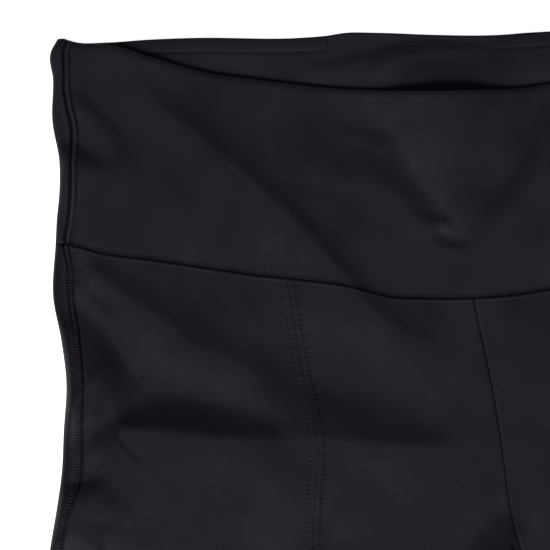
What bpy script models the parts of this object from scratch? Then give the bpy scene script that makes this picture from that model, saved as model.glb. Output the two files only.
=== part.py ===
"""Flared sports trousers in stretch knit, laid flat on their back with the front facing up.

The garment is two layers of cloth. The back panels lie flat on the surface, turn up round both
side folds and come a few millimetres over the front, where the side seams are. The front panels
lie over them in soft folds, with a deep waistband whose front edge dips in the middle.

Working frame, in millimetres: +X to the wearer's left, +Y up the garment, +Z up from the surface,
with zero where the centre front seam meets the waistband. "Across" is the distance from the centre
line towards a leg's outer side, so x = side * across. The last step moves everything so that the
part's origin is the middle of its base, and turns millimetres into metres.
"""

import math
from collections import namedtuple

import bpy
import numpy as np

MM = 0.001

# Cloth and clearances
LEG_CLOTH = 1.2
BAND_CLOTH = 2.0
SEAM_GAP = 0.3
LAYER_GAP = 0.7
PRESS_SOFTNESS = 0.5

# Lengths down the garment
CROTCH_LEVEL = -165.0
HEM_LEVEL = -955.0
WAIST_FADE_LEVEL = -115.0
HEM_FADE_LEVEL = -800.0
HEM_RISE_OUTER = 9.0
HEM_DROP_MIDDLE = 6.0

# Folded edges: radius of the outside of the cloth where it turns
INNER_FOLD_RADIUS = 2.6
INNER_FOLD_END = math.radians(86.0)

# The narrow elastic inside the top of the back waistband
ELASTIC_WIDTH = 4.6
ELASTIC_THICKNESS = 0.8
ELASTIC_BELOW_TOP = 0.6
ELASTIC_LIFT = 0.3

SIDES = {"right": -1, "left": 1}

# Each table below has a row for each section: (level, value) in millimetres
OUTER_EDGE = {
    "right": (
        (128, 183), (123, 185.7), (109, 186), (91, 187), (72, 184.7), (58, 185.5), (45, 188),
        (35, 189), (10, 191.4), (-9, 188.6), (-30, 186.8), (-50, 188.9), (-71, 191.1),
        (-85, 193.9), (-105, 198.6), (-135, 204), (-165, 208), (-230, 209.5), (-330, 209),
        (-430, 212), (-530, 218), (-630, 229), (-730, 246), (-830, 267), (-900, 284), (-970, 302),
    ),
    "left": (
        (128, 184), (110, 187), (88, 185.5), (66, 187.5), (45, 186.5), (35, 187.5), (12, 190),
        (-12, 189), (-40, 191), (-70, 195), (-105, 203), (-135, 210), (-165, 214.5), (-230, 218),
        (-330, 219), (-430, 221.5), (-530, 226), (-630, 236), (-730, 253), (-830, 273),
        (-900, 289), (-970, 308),
    ),
}
SEAM_INSET = {
    "right": (
        (128, 4.2), (109, 4.8), (100, 6), (86, 8.4), (68, 6.3), (50, 6.6), (35, 5.2), (20, 7.2),
        (4, 8.3), (-14, 6.2), (-37, 5.1), (-55, 7.4), (-70, 8.2), (-77, 6.9), (-86, 3.6),
        (-105, 4.1), (-140, 5), (-300, 6), (-530, 5), (-760, 7), (-970, 6),
    ),
    "left": (
        (128, 4.5), (100, 5.5), (70, 4.6), (35, 5.6), (0, 4.6), (-60, 6), (-140, 4.8),
        (-300, 5.5), (-530, 4.6), (-760, 6.5), (-970, 5.5),
    ),
}
LEG_SEAM = {
    "right": (
        (40, 87.5), (5, 83.6), (-13, 81.2), (-31, 78.9), (-46, 75.9), (-59, 74.2), (-69, 74.5),
        (-86, 76.7), (-104, 78.3), (-125, 80.2), (-165, 85), (-230, 91), (-330, 99), (-430, 110),
        (-530, 122), (-630, 132), (-730, 142), (-830, 151), (-970, 163),
    ),
    "left": (
        (40, 79), (11, 80.5), (-30, 83), (-75, 86), (-111, 89), (-165, 97), (-230, 103),
        (-330, 112), (-430, 124), (-530, 137), (-630, 145), (-730, 154), (-830, 163), (-970, 176),
    ),
}
CENTRE_FRONT = (
    (12, -1), (0, 0), (-10, 1.3), (-22, 3.4), (-38, 5.8), (-56, 8), (-75, 9.8), (-88, 10.7),
    (-102, 12.5), (-116, 15.4), (-132, 15.6), (-148, 11), (-165, 4), (-185, 4),
)
CENTRE_BACK = ((40, -20), (0, -18), (-60, -13), (-120, -4), (-165, 4), (-185, 4))
INNER_EDGE = {
    "right": (
        (-150, -4), (-165, -4), (-185, -2), (-230, 2.5), (-330, 10), (-430, 20), (-530, 30),
        (-630, 33), (-730, 32), (-830, 29), (-970, 21),
    ),
    "left": (
        (-150, 4), (-165, 4), (-185, 7), (-230, 12), (-330, 20), (-430, 29), (-530, 37),
        (-630, 39), (-730, 38), (-830, 33), (-970, 26),
    ),
}

# Lines across the garment: (x, level)
WAIST_SEAM = (
    (-200, 37.5), (-188.5, 35.1), (-180.4, 33.1), (-169.2, 29.2), (-146.5, 24.6), (-128.4, 21.2),
    (-101.2, 15.6), (-78.5, 12.2), (-55.8, 8.2), (-47, 5.4), (-38, 2.6), (-24.2, 1.2), (0, 0),
    (21.5, 0.7), (35.4, 2.3), (60, 6.5), (85, 11), (110, 15.5), (135, 21), (160, 27), (178, 32),
    (190, 35.4), (200, 38),
)
BACK_WAIST_SEAM = (
    (-200, 37.5), (-188.5, 35.1), (-180.4, 33.1), (-150, 26.5), (-100, 17), (-50, 11), (0, 9),
    (50, 11), (100, 17), (150, 26), (178, 32), (190, 35.4), (200, 38),
)
FRONT_TOP = (
    (-190, 127.5), (-180, 127.5), (-174, 125.5), (-162, 124.3), (-155, 122.5), (-141.6, 117.7),
    (-128, 113), (-114.6, 109), (-96.5, 105.3), (-83, 102.7), (-60, 98.8), (-28, 96.2), (-1, 95.2),
    (26.5, 95.6), (40, 96.4), (62, 98.6), (85, 101.8), (108, 106), (130, 111), (148, 116.5),
    (163, 122), (174, 125.4), (181, 127.4), (190, 127.4),
)
BACK_TOP = (
    (-190, 127.5), (-180, 127.6), (-174, 125.9), (-162, 125.3), (-141, 125.6), (-121, 125.3),
    (-73, 122.8), (-61, 123.1), (-52, 124), (-38, 123.3), (-13, 121.1), (9.5, 119.6), (19, 119.4),
    (30, 119.7), (42, 119.8), (70, 120.9), (110, 123.2), (150, 125.3), (174, 126), (181, 127.4),
    (190, 127.4),
)
ELASTIC_ENDS = {"right": (-171.0, -60.0), "left": (16.0, 171.0)}

# Heights of the cloth above the surface: (level, value)
SIDE_FOLD_RADIUS = ((128, 3.5), (35, 3.2), (-100, 2.9), (-970, 2.7))
FRONT_LAYER_HEIGHT = (
    (128, 6.6), (97, 6.6), (60, 8.0), (30, 8.8), (0, 8.0), (-60, 6.6), (-115, 5.9), (-165, 5.3),
    (-300, 4.9), (-530, 4.6), (-800, 4.6), (-970, 4.2),
)
SIDE_SETTLE = 15.0
INNER_SETTLE = 16.0

# The tongue of cloth that stands up in the middle of the waistband's front edge
MOUTH_TIP_X = -6.0
MOUTH_TIP_LEVEL = 34.0
MOUTH_DEPTH = 62.0
MOUTH_LIFT = 7.0
MOUTH_LEAN = 0.2
MOUTH_SPREAD = 0.62
MOUTH_TIP_HALF_WIDTH = 4.0

# The main folds of the front. Along its line of (x, level) points a fold has a crest, with a gentle
# rise before it and a steep wall on the left of the line's direction, down to a valley, from which
# the cloth comes back. A size is one number, or several in even steps along the line.
FOLD_SIZES = ("crest", "valley", "before", "wall", "after", "bias", "power")
FOLD_COLUMNS = "crest valley before wall after line bias power fade"
Fold = namedtuple("Fold", FOLD_COLUMNS, defaults=(0.0, 2.0, (0.2, 0.2)))
FOLDS = (
    # waistband, wearer's right and middle
    Fold((1.2, 0.6, 1.6, 1.0), (1.9, 2.2, 1.0, 0.4), (10, 20, 40, 26), (32, 20, 16, 18), (50, 60, 60, 24),
         ((-155, 112), (-142, 98), (-120, 78.5), (-98, 58), (-77.5, 37), (-60, 15), (-44, -5), (-34, -14),
          (-10, -25)), bias=0.15, power=4),
    Fold((0.5, 0.6, 1.0), (1.3, 0.8, 0.5), (7, 18, 6), (32, 8.5, 4), (28, 11, 9),
         ((-66, 60), (-45, 55.5), (-36, 51), (-29, 45.5), (-25, 39), (-20, 35.5), (-14, 34), (-8, 35)),
         fade=(0.3, 0.06)),
    Fold((0.8, 2.2, 3), 0.3, 16, (7, 9, 8), 7,
         ((0, 30), (14.5, 34), (26.5, 47), (38, 67), (46, 92)), bias=0.35, fade=(0.3, 0.3)),
    # waistband, wearer's left
    Fold(0.7, 3.1, (18, 16), (28, 18), (46, 28), ((150, 106), (116, 72), (80, 30), (66, 12), (38, -14)),
         power=3.4, fade=(0.25, 0.25)),
    Fold(0.3, 1.4, 12, 8, 16, ((178, 96), (166, 84), (158, 70), (152, 54))),
    Fold(0.4, 1.2, 14, 12, 22, ((66, 92), (82, 80), (104, 72))),
    # hip and thigh, wearer's right
    Fold(0.8, (1.1, 1.2, 0.5, 0.3), (13, 25, 12), (5, 13, 10), (28, 60, 30),
         ((-181, 26.5), (-171, 19.5), (-156, 7), (-141, -4.5), (-128, -15), (-110, -24), (-94, -36),
          (-87, -45)),
         fade=(0.12, 0.2)),
    Fold((0.8, 3.0, 1.2), (0.6, 0.4, 2.0), 15, (27, 21, 14), (32, 12),
         ((-200, 4), (-197, -10), (-190, -18), (-181, -27), (-173, -36), (-166.5, -44.5)),
         bias=(1, 1, 0.4), power=3, fade=(0.15, 0.3)),
    Fold((1.5, 4.6, 4.2, 3.0, 2.0), (0.8, 1.4, 1.1, 0.6, 0.2), (45, 90, 90, 70, 25), (9, 16, 13, 11, 10),
         (20, 28, 24, 28), ((-169, -46), (-164, -49.5), (-157, -51), (-135, -54), (-113, -57.5), (-80, -60)),
         fade=(0.08, 0.2)),
    Fold((2.7, 0.4), (1.6, 2.2, 2.0), 55, (21, 20, 8), (48, 16),
         ((-98, -57), (-84, -58.5), (-72, -61), (-45, -64.7), (-18, -67.4), (-4, -68.3)), fade=(0.25, 0.3)),
    Fold((2.2, 2.2, 1.2), 1.2, 10, (11, 8), 6, ((-202, -88), (-188, -83.5), (-181, -81), (-169, -76)),
         bias=0.6, fade=(0.1, 0.12)),
    Fold(2.2, 2.0, 12, 11, 14, ((0, -141), (6, -116), (11, -107), (13.5, -98), (12.5, -90)),
         bias=0.5, fade=(0.1, 0.25)),
    # hip and thigh, wearer's left
    Fold(0, 0.7, 17, 13.5, 27, ((16, -17.5), (28, -13.5), (42, -13.5), (60, -16), (84, -26)), bias=0.5),
    Fold(0.4, 2.6, (22, 14), (16, 12), (36, 33), ((88, -46), (124, -20), (158, 8), (176, 24)),
         fade=(0.2, 0.12)),
    Fold((3.4, 3.8, 0.8), (1.6, 2.4, 2.6), (60, 70, 20), (15, 16), (28, 30, 20),
         ((84, -60), (126, -54), (146, -51), (163, -50), (170, -44), (176, -34), (183, -22), (190, -8)),
         bias=(0.2, 0.3, 0.8), fade=(0.2, 0.15)),
    Fold(0.6, 2.0, 9, 8, 9, ((172, -84), (184, -88), (200, -88)), bias=0.7),
    Fold(1.0, 0.6, 30, 14, 24, ((35, -79), (50, -92), (60, -112), (64, -136))),
    # legs
    Fold(1.0, 1.0, 22, 16, 20, ((-196, -128), (-160, -140), (-124, -146), (-92, -142))),
    Fold(0.9, 1.2, 24, 16, 22, ((-12, -206), (-46, -218), (-84, -236), (-122, -262))),
    Fold(1.2, 0.8, 24, 18, 24, ((-204, -226), (-170, -250), (-134, -272), (-104, -298))),
    Fold(1.1, 0.6, 24, 16, 20, ((-26, -306), (-64, -330), (-104, -360))),
    Fold(0.8, 1.0, 26, 18, 24, ((-204, -396), (-168, -416), (-130, -430), (-96, -430))),
    Fold(1.5, 0.8, 24, 16, 22, ((-204, -512), (-160, -530), (-118, -538), (-70, -526), (-44, -508))),
    Fold(0.7, 1.2, 22, 16, 20, ((-206, -572), (-166, -586), (-124, -590), (-84, -578))),
    Fold(1.6, 0.2, 30, 24, 20, ((-84, -610), (-92, -690), (-104, -780), (-116, -880), (-122, -975)),
         bias=0.4),
    Fold(1.3, 0.4, 28, 24, 20, ((-206, -700), (-228, -790), (-250, -880), (-266, -975)), bias=0.4),
    Fold(0.9, 1.2, 22, 16, 20, ((38, -212), (76, -226), (118, -246), (150, -272))),
    Fold(1.2, 0.8, 24, 18, 22, ((106, -312), (134, -288), (172, -262), (206, -238))),
    Fold(1.1, 0.6, 22, 16, 20, ((58, -340), (96, -362), (134, -394))),
    Fold(1.5, 0.8, 26, 16, 22, ((60, -522), (92, -540), (136, -550), (180, -540), (214, -522))),
    Fold(0.7, 1.2, 22, 16, 20, ((84, -588), (126, -602), (170, -598), (212, -582))),
    Fold(1.6, 0.2, 30, 24, 20, ((134, -975), (128, -880), (118, -790), (106, -700), (96, -620)), bias=0.4),
    Fold(1.3, 0.4, 28, 24, 20, ((276, -975), (262, -890), (242, -800), (220, -710)), bias=0.4),
)
CREST_ROUNDING = 3.0
FOLD_LINE_STEP = 6.0
FOLD_END_REACH = 5.0

# Broad rises and hollows between the folds: x, level, height, half length, half width, turn
HILLS = (
    (-160, 75, 1.2, 20, 25, 0),
    (-90, 88, 1.0, 25, 20, -35),
    (-180, 90, -1.2, 45, 20, -40),
    (-65, 58, 0.8, 25, 12, -45),
    (-20, 95, -1.2, 40, 18, 110),
    (5, 10, 1.4, 20, 15, 55),
    (-95, 25, -0.6, 22, 10, -30),
    (-95, -50, 1.4, 50, 35, -25),
    (-185, -35, 1.4, 35, 18, -47),
    (-170, -110, 1.4, 50, 50, 25),
    (-45, -125, -1.4, 25, 45, 0),
    (-40, -45, 1.2, 35, 25, 15),
    (45, -45, 1.4, 20, 35, 10),
)

# How finely the panels are divided
SIDE_PANEL_COLUMNS = 13
CENTRE_PANEL_COLUMNS = 9
CURL_COLUMNS = 2
FLOOR_COLUMNS = 4
WRAP_ANGLES = np.radians(np.linspace(0, 180, 6))
BAND_ROWS = 14
HIP_ROWS = 22
CROTCH_ROWS = 5
LEG_ROWS = 17
SETTLING_STEPS = 12

CLOTH_COLOUR = (0.013, 0.012, 0.017, 1.0)
BAND_COLOUR = (0.014, 0.013, 0.018, 1.0)
ELASTIC_COLOUR = (0.018, 0.017, 0.022, 1.0)


def smooth_curve(rows):
    """A function through the rows' points, with slopes taken from each point's neighbours."""
    points = np.array(sorted(rows), float)
    at, value = points[:, 0], points[:, 1]
    slope = np.gradient(value, at)

    def curve(where):
        where = np.clip(np.asarray(where, float), at[0], at[-1])
        k = np.clip(np.searchsorted(at, where) - 1, 0, len(at) - 2)
        width = at[k + 1] - at[k]
        f = (where - at[k]) / width
        rise = f * f * (3 - 2 * f)
        start = f * (1 - f) ** 2 * width * slope[k]
        end = f * f * (f - 1) * width * slope[k + 1]
        return value[k] * (1 - rise) + value[k + 1] * rise + start + end

    return curve


def smoothstep(f):
    f = np.clip(f, 0, 1)
    return f * f * (3 - 2 * f)


outer_edge = {leg: smooth_curve(OUTER_EDGE[leg]) for leg in SIDES}
seam_inset = {leg: smooth_curve(SEAM_INSET[leg]) for leg in SIDES}
leg_seam = {leg: smooth_curve(LEG_SEAM[leg]) for leg in SIDES}
inner_edge = {leg: smooth_curve(INNER_EDGE[leg]) for leg in SIDES}
centre_front = smooth_curve(CENTRE_FRONT)
centre_back = smooth_curve(CENTRE_BACK)
waist_seam = smooth_curve(WAIST_SEAM)
back_waist_seam = smooth_curve(BACK_WAIST_SEAM)
front_top = smooth_curve(FRONT_TOP)
back_top = smooth_curve(BACK_TOP)
side_fold_radius = smooth_curve(SIDE_FOLD_RADIUS)
front_layer_height = smooth_curve(FRONT_LAYER_HEIGHT)


def side_seam(leg, y):
    """How far across the side seam lies: in from the folded edge, on the front."""
    return outer_edge[leg](y) - seam_inset[leg](y)


def fold_profile(s, crest, valley, before, wall, after, bias, power):
    """Height by signed distance s behind the crest: a smooth rise before it, then over the wall a
    drop of crest + valley, and back to nothing. With no bias the wall is steepest at the crest, as
    1 - (1 - t)^power; with full bias near its foot, as a smooth step of t^1.6."""
    behind = np.hypot(np.clip(s, 0, None), CREST_ROUNDING) - CREST_ROUNDING
    t = np.clip(behind / wall, 0, 1)
    drop = (1 - bias) * (1 - (1 - t) ** power) + bias * smoothstep(t**1.6)
    over = crest - (crest + valley) * drop + valley * smoothstep((behind - wall) / after)
    return np.where(s < 0, crest * smoothstep(1 + s / before), over)


def even_line(points):
    """A fold's line as a smooth curve through its points, in even steps."""
    points = np.array(points, float)
    length = np.concatenate(([0], np.cumsum(np.linalg.norm(np.diff(points, axis=0), axis=1))))
    where = np.linspace(0, length[-1], max(3, int(length[-1] / FOLD_LINE_STEP) + 1))
    return np.stack([smooth_curve(zip(length, part))(where) for part in points.T], axis=1)


def along_line(size, share):
    """A size at each share of the line, from one number or several in even steps."""
    values = np.atleast_1d(size)
    return np.interp(share, np.linspace(0, 1, values.size), values)


def one_fold(fold, x, y):
    """Height of one fold. The signed distance is that to the nearest step of its line or, off an
    end, to the line carried on straight. The place along the line is a mean over the steps, each
    with a pull of 1 / (distance + 0.5)^6, so that it changes smoothly inside a bend."""
    line = even_line(fold.line)
    nearest = np.full(x.shape, np.inf)
    behind, past, share, weight = (np.zeros(x.shape) for _ in range(4))
    for k, ((ax, ay), (bx, by)) in enumerate(zip(line[:-1], line[1:])):
        length = math.hypot(bx - ax, by - ay)
        dx, dy = (bx - ax) / length, (by - ay) / length
        along = (x - ax) * dx + (y - ay) * dy
        aside = (y - ay) * dx - (x - ax) * dy
        on_line = np.clip(along, 0, length)
        distance = np.hypot(aside, along - on_line)
        off_start = np.clip(-along, 0, None) * (k == 0)
        off_end = off_start + np.clip(along - length, 0, None) * (k == len(line) - 2)
        closer = distance < nearest
        nearest = np.where(closer, distance, nearest)
        behind = np.where(closer, np.where(off_end > 0, aside, np.copysign(distance, aside)), behind)
        past = np.where(closer, off_end, past)
        pull = 1 / (distance + 0.5) ** 6
        share += pull * (k + on_line / length) / (len(line) - 1)
        weight += pull
    share = share / weight
    sizes = [along_line(getattr(fold, name), share) for name in FOLD_SIZES]
    ends = smoothstep(share / fold.fade[0]) * smoothstep((1 - share) / fold.fade[1])
    return ends * np.exp(-((past / FOLD_END_REACH) ** 2)) * fold_profile(behind, *sizes)


def fold_height(x, y):
    """The sum of all folds, and of the broad rises and hollows, each a bell."""
    x, y = np.broadcast_arrays(x, y)
    total = sum(one_fold(fold, x, y) for fold in FOLDS)
    for at_x, at_y, height, long, short, turn in HILLS:
        dx, dy = math.cos(math.radians(turn)), math.sin(math.radians(turn))
        along = ((x - at_x) * dx + (y - at_y) * dy) / long
        aside = ((y - at_y) * dx - (x - at_x) * dy) / short
        total = total + height * np.exp(-(along**2) - aside**2)
    return total


def mouth_height(x, y):
    """The lifted tongue of the waistband, widening upwards from a point: it rises evenly with the
    share of the way up, and across it as (1 - q^2)^2."""
    up = np.clip((y - MOUTH_TIP_LEVEL) / MOUTH_DEPTH, 0, 1.2)
    half = MOUTH_TIP_HALF_WIDTH + MOUTH_SPREAD * MOUTH_DEPTH * up
    q = (x - MOUTH_TIP_X - MOUTH_LEAN * MOUTH_DEPTH * up) / half
    return MOUTH_LIFT * up * (1 - np.clip(q, -1, 1) ** 2) ** 2


def front_height(x, y, cloth):
    """Height of the outside of the front layer, of this cloth. Near a side seam the free height
    gives way to that of the side fold, while the folds run on over the seam. A fold that would
    press the layer into the back is softened so that it stays just clear."""
    lowest = 2 * cloth + LAYER_GAP
    free = front_layer_height(y) + mouth_height(x, y)
    for leg, side in SIDES.items():
        share = 1 - smoothstep((side_seam(leg, y) - side * x) / SIDE_SETTLE)
        free = free * (1 - share) + 2 * side_fold_radius(y) * share
    free = free + fold_height(x, y)
    return lowest + PRESS_SOFTNESS * np.logaddexp(0, (free - lowest) / PRESS_SOFTNESS)


def lattice_level(level, x, leg):
    """The garment level of a lattice row at x: it follows the waist seam at the top and the
    hem's curve at the bottom, and is straight across in between."""
    to_waist = np.clip(1 - level / WAIST_FADE_LEVEL, 0, 1)
    to_hem = smoothstep((HEM_FADE_LEVEL - level) / (HEM_FADE_LEVEL - HEM_LEVEL))
    inner = inner_edge[leg](level)
    share = (SIDES[leg] * x - inner) / (outer_edge[leg](level) - inner)
    hem = HEM_RISE_OUTER * share**3 - 4 * HEM_DROP_MIDDLE * share * (1 - share)
    return to_waist, to_hem * hem


def settled(level, leg, seam_line, across_of):
    """Places lattice rows: each point's level and its distance across agree with each other."""
    y = level + np.zeros_like(across_of(level))
    for _ in range(SETTLING_STEPS):
        across = across_of(y)
        x = SIDES[leg] * across
        to_waist, hem = lattice_level(level, x, leg)
        y = level + to_waist * seam_line(x) + hem
    return x, y


def rows_down():
    """Lattice levels from the waist seam to the hem, closest where the folds are."""
    hip = np.linspace(0, WAIST_FADE_LEVEL, HIP_ROWS)
    crotch = np.linspace(WAIST_FADE_LEVEL, CROTCH_LEVEL, CROTCH_ROWS + 1)[1:]
    leg = np.linspace(CROTCH_LEVEL, HEM_LEVEL, LEG_ROWS + 1)[1:]
    return np.concatenate((hip, crotch, leg))[:, None]


LEVELS = rows_down()
CURLED = LEVELS <= CROTCH_LEVEL


def stack(x, y, z):
    return np.stack(np.broadcast_arrays(x, y, z), axis=-1)


def front_side_panel(leg):
    """From the side seam to the seam down the front of the leg."""
    share = np.linspace(0, 1, SIDE_PANEL_COLUMNS + 1)[None, :]

    def across_of(y):
        start = side_seam(leg, y) - SEAM_GAP / 2
        end = leg_seam[leg](y) + SEAM_GAP / 2
        return start * (1 - share) + end * share

    x, y = settled(LEVELS, leg, waist_seam, across_of)
    z = front_height(x, y, LEG_CLOTH)
    return stack(x, y, z), stack(x, y, z - LEG_CLOTH)


def front_centre_panel(leg):
    """From the front leg seam to the centre front seam and, below the crotch, to the inseam,
    where the cloth curls down to half the height of the leg's folded inner edge."""
    side = SIDES[leg]
    radius = INNER_FOLD_RADIUS
    flat_share = np.linspace(0, 1, CENTRE_PANEL_COLUMNS + 1)
    curl_share = np.linspace(0, 1, CURL_COLUMNS + 1)[1:]
    angle = np.concatenate((np.zeros(len(flat_share)), curl_share * INNER_FOLD_END))[None, :]
    share = np.concatenate((flat_share, np.ones(len(curl_share))))[None, :]
    beyond = np.concatenate((np.zeros(len(flat_share)), curl_share))[None, :]

    def edge_of(y):
        seam = side * centre_front(y) + SEAM_GAP / 2
        return np.where(CURLED, inner_edge[leg](y) + SEAM_GAP / 2, seam)

    def across_of(y):
        start = leg_seam[leg](y) - SEAM_GAP / 2
        end = edge_of(y) + radius
        past = np.where(CURLED, np.sin(angle), beyond)
        return start * (1 - share) + end * share - radius * past

    x, y = settled(LEVELS, leg, waist_seam, across_of)
    across = side * x
    z = front_height(x, y, LEG_CLOTH)
    near = 1 - smoothstep((across - edge_of(y) - radius) / INNER_SETTLE)
    z = np.where(CURLED, z * (1 - near) + 2 * radius * near, z)
    drop = radius * (1 - np.cos(angle))
    outside = stack(x, y, np.where(CURLED, z - drop, z))
    turn_in = LEG_CLOTH * np.sin(angle)
    inside_across = np.where(CURLED, across + turn_in, across)
    lift = LEG_CLOTH * np.where(CURLED, np.cos(angle), 1)
    inside = stack(side * inside_across, y, outside[..., 2] - lift)
    return outside, inside


def wrapped_edge(leg, y, cloth):
    """Across and height of the back's cloth round a side fold, outside and inside: the strip that
    lies on the front as far as the side seam, then the half circle down to the surface. The
    front's folds run on over the strip and die away round the first quarter of the circle. Takes
    the level of each column and returns arrays of the same shape."""
    radius = side_fold_radius(y)
    edge = outer_edge[leg](y)
    angle = np.concatenate(([0.0], WRAP_ANGLES))[None, :]
    strip_end = side_seam(leg, y) + SEAM_GAP / 2
    found = []
    for bend in (radius, radius - cloth):
        across = edge - radius + bend * np.sin(angle)
        across[:, 0] = np.minimum(strip_end, edge - radius - SEAM_GAP)[:, 0]
        outside_across = across if bend is radius else found[0][0]
        folds = fold_height(SIDES[leg] * outside_across, y) * np.clip(1 - angle / (math.pi / 2), 0, 1)
        found.append((across, radius + bend * np.cos(angle) + folds))
    return found


def back_panel(leg):
    """From the side seam on the front, round the side fold and along the surface to the centre
    back seam and, below the crotch, up to the inseam."""
    side = SIDES[leg]
    radius = INNER_FOLD_RADIUS
    wraps = len(WRAP_ANGLES) + 1
    floor_share = np.linspace(0, 1, FLOOR_COLUMNS + 1)[1:]
    curl_share = np.linspace(0, 1, CURL_COLUMNS + 1)[1:]
    share = np.concatenate((floor_share, np.ones(len(curl_share))))[None, :]
    beyond = np.concatenate((np.zeros(len(floor_share)), curl_share))[None, :]
    angle = np.concatenate((np.zeros(len(floor_share)), curl_share * INNER_FOLD_END))[None, :]

    def across_of(y):
        wrap = wrapped_edge(leg, y[:, :wraps], LEG_CLOTH)[0][0]
        y = y[:, wraps:]
        seam = side * centre_back(y) + SEAM_GAP / 2
        edge = np.where(CURLED, inner_edge[leg](y) + SEAM_GAP / 2, seam)
        start = outer_edge[leg](y) - side_fold_radius(y)
        past = np.where(CURLED, np.sin(angle), beyond)
        floor = start * (1 - share) + (edge + radius) * share - radius * past
        return np.concatenate((wrap, floor), axis=1)

    columns = wraps + share.shape[1]
    level = np.repeat(LEVELS, columns, axis=1)
    x, y = settled(level, leg, back_waist_seam, across_of)
    (_, wrap_z), (wrap_inside, wrap_inside_z) = wrapped_edge(leg, y[:, :wraps], LEG_CLOTH)
    floor_across = side * x[:, wraps:]
    rise = np.where(CURLED, radius * (1 - np.cos(angle)), 0)
    inside_across = np.where(CURLED, floor_across + LEG_CLOTH * np.sin(angle), floor_across)
    inside_rise = np.where(CURLED, rise + LEG_CLOTH * np.cos(angle), LEG_CLOTH)
    outside = stack(x, y, np.concatenate((wrap_z, rise), axis=1))
    inside_x = side * np.concatenate((wrap_inside, inside_across), axis=1)
    inside = stack(inside_x, y, np.concatenate((wrap_inside_z, inside_rise), axis=1))
    return outside, inside


def band_rows():
    """Shares of the band's height, one row to each."""
    return np.linspace(0, 1, BAND_ROWS + 1)[:, None]


def shares_along(x):
    """Where each point lies between the first and the last, from 0 to 1, as one row."""
    return ((x - x[0]) / (x[-1] - x[0]))[None, :]


def front_band(seam_x):
    """The front waistband, whose columns start at the given points of the leg panels' top row."""
    share = shares_along(seam_x)
    up = band_rows()
    y = waist_seam(seam_x)[None, :] * (1 - up) + front_top(seam_x)[None, :] * up
    for _ in range(SETTLING_STEPS):
        x = side_of_band("right", y) * (1 - share) + side_of_band("left", y) * share
        y = (waist_seam(x) + SEAM_GAP) * (1 - up) + front_top(x) * up
    z = front_height(x, y, BAND_CLOTH)
    return stack(x, y, z), stack(x, y, z - BAND_CLOTH)


def side_of_band(leg, y):
    """x of the front waistband's end at a side seam."""
    return SIDES[leg] * (side_seam(leg, y) - SEAM_GAP / 2)


def back_band(seam_x):
    """The back waistband: flat on the surface, with columns that start at the given points of the
    back panels' top row, and round both side folds to the side seams."""
    up = band_rows()
    wraps = len(WRAP_ANGLES) + 1

    def wrap(leg):
        side = SIDES[leg]
        end = SIDES[leg] * outer_edge[leg](0)
        y = np.repeat(back_waist_seam(end) * (1 - up) + back_top(end) * up, wraps, axis=1)
        for _ in range(SETTLING_STEPS):
            (across, z), (inside_across, inside_z) = wrapped_edge(leg, y, BAND_CLOTH)
            x = side * across
            y = (back_waist_seam(x) + SEAM_GAP) * (1 - up) + back_top(x) * up
        return stack(x, y, z), stack(side * inside_across, y, inside_z)

    share = shares_along(seam_x)[:, 1:-1]
    y = back_waist_seam(seam_x)[None, 1:-1] * (1 - up) + back_top(seam_x)[None, 1:-1] * up
    for _ in range(SETTLING_STEPS):
        start = -(outer_edge["right"](y) - side_fold_radius(y))
        end = outer_edge["left"](y) - side_fold_radius(y)
        x = start * (1 - share) + end * share
        y = (back_waist_seam(x) + SEAM_GAP) * (1 - up) + back_top(x) * up
    right, left = wrap("right"), wrap("left")
    outside = np.concatenate((right[0], stack(x, y, 0), left[0][:, ::-1]), axis=1)
    inside = np.concatenate((right[1], stack(x, y, BAND_CLOTH), left[1][:, ::-1]), axis=1)
    return outside, inside


def elastic(leg):
    """A narrow elastic tape on the inside of the back waistband, just under its top edge, with
    its end towards the centre back rounded."""
    start, end = ELASTIC_ENDS[leg]
    columns = np.linspace(start, end, 25)
    near_end = np.abs(columns - (end if leg == "right" else start))
    half = ELASTIC_WIDTH / 2
    rounded = np.sqrt(np.clip(1 - np.clip(1 - near_end / half, 0, 1) ** 2, 0.04, 1))
    middle = back_top(columns) - ELASTIC_BELOW_TOP - half
    up = np.array([[1.0], [0.0], [-1.0]])
    y = middle[None, :] + up * half * rounded[None, :]
    low = BAND_CLOTH + ELASTIC_LIFT
    return stack(columns[None, :], y, low + ELASTIC_THICKNESS), stack(columns[None, :], y, low)


def wall_faces(rows, columns):
    """Quads of a closed wall: the outside grid, the inside grid and the rim between them."""
    outside = np.arange(rows * columns).reshape(rows, columns)
    inside = outside + rows * columns
    faces = []
    for grid, turned in ((outside, False), (inside, True)):
        corners = (grid[:-1, :-1], grid[1:, :-1], grid[1:, 1:], grid[:-1, 1:])
        quads = np.stack(corners, axis=-1).reshape(-1, 4)
        faces.append(quads[:, ::-1] if turned else quads)
    ring = np.concatenate((outside[0, :-1], outside[:-1, -1], outside[-1, :0:-1], outside[:0:-1, 0]))
    after = np.roll(ring, -1)
    shift = rows * columns
    faces.append(np.stack((ring, after, after + shift, ring + shift), axis=-1))
    return np.concatenate(faces)


def signed_volume(points, faces):
    a, b, c, d = (points[faces[:, k]] for k in range(4))
    return (np.cross(a, b) * c).sum() + (np.cross(a, c) * d).sum()


def cloth_material(name, colour, roughness):
    material = bpy.data.materials.new(name)
    material.use_nodes = True
    shader = material.node_tree.nodes["Principled BSDF"]
    shader.inputs["Base Color"].default_value = colour
    shader.inputs["Roughness"].default_value = roughness
    shader.inputs["Metallic"].default_value = 0.0
    material.diffuse_color = colour
    return material


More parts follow.
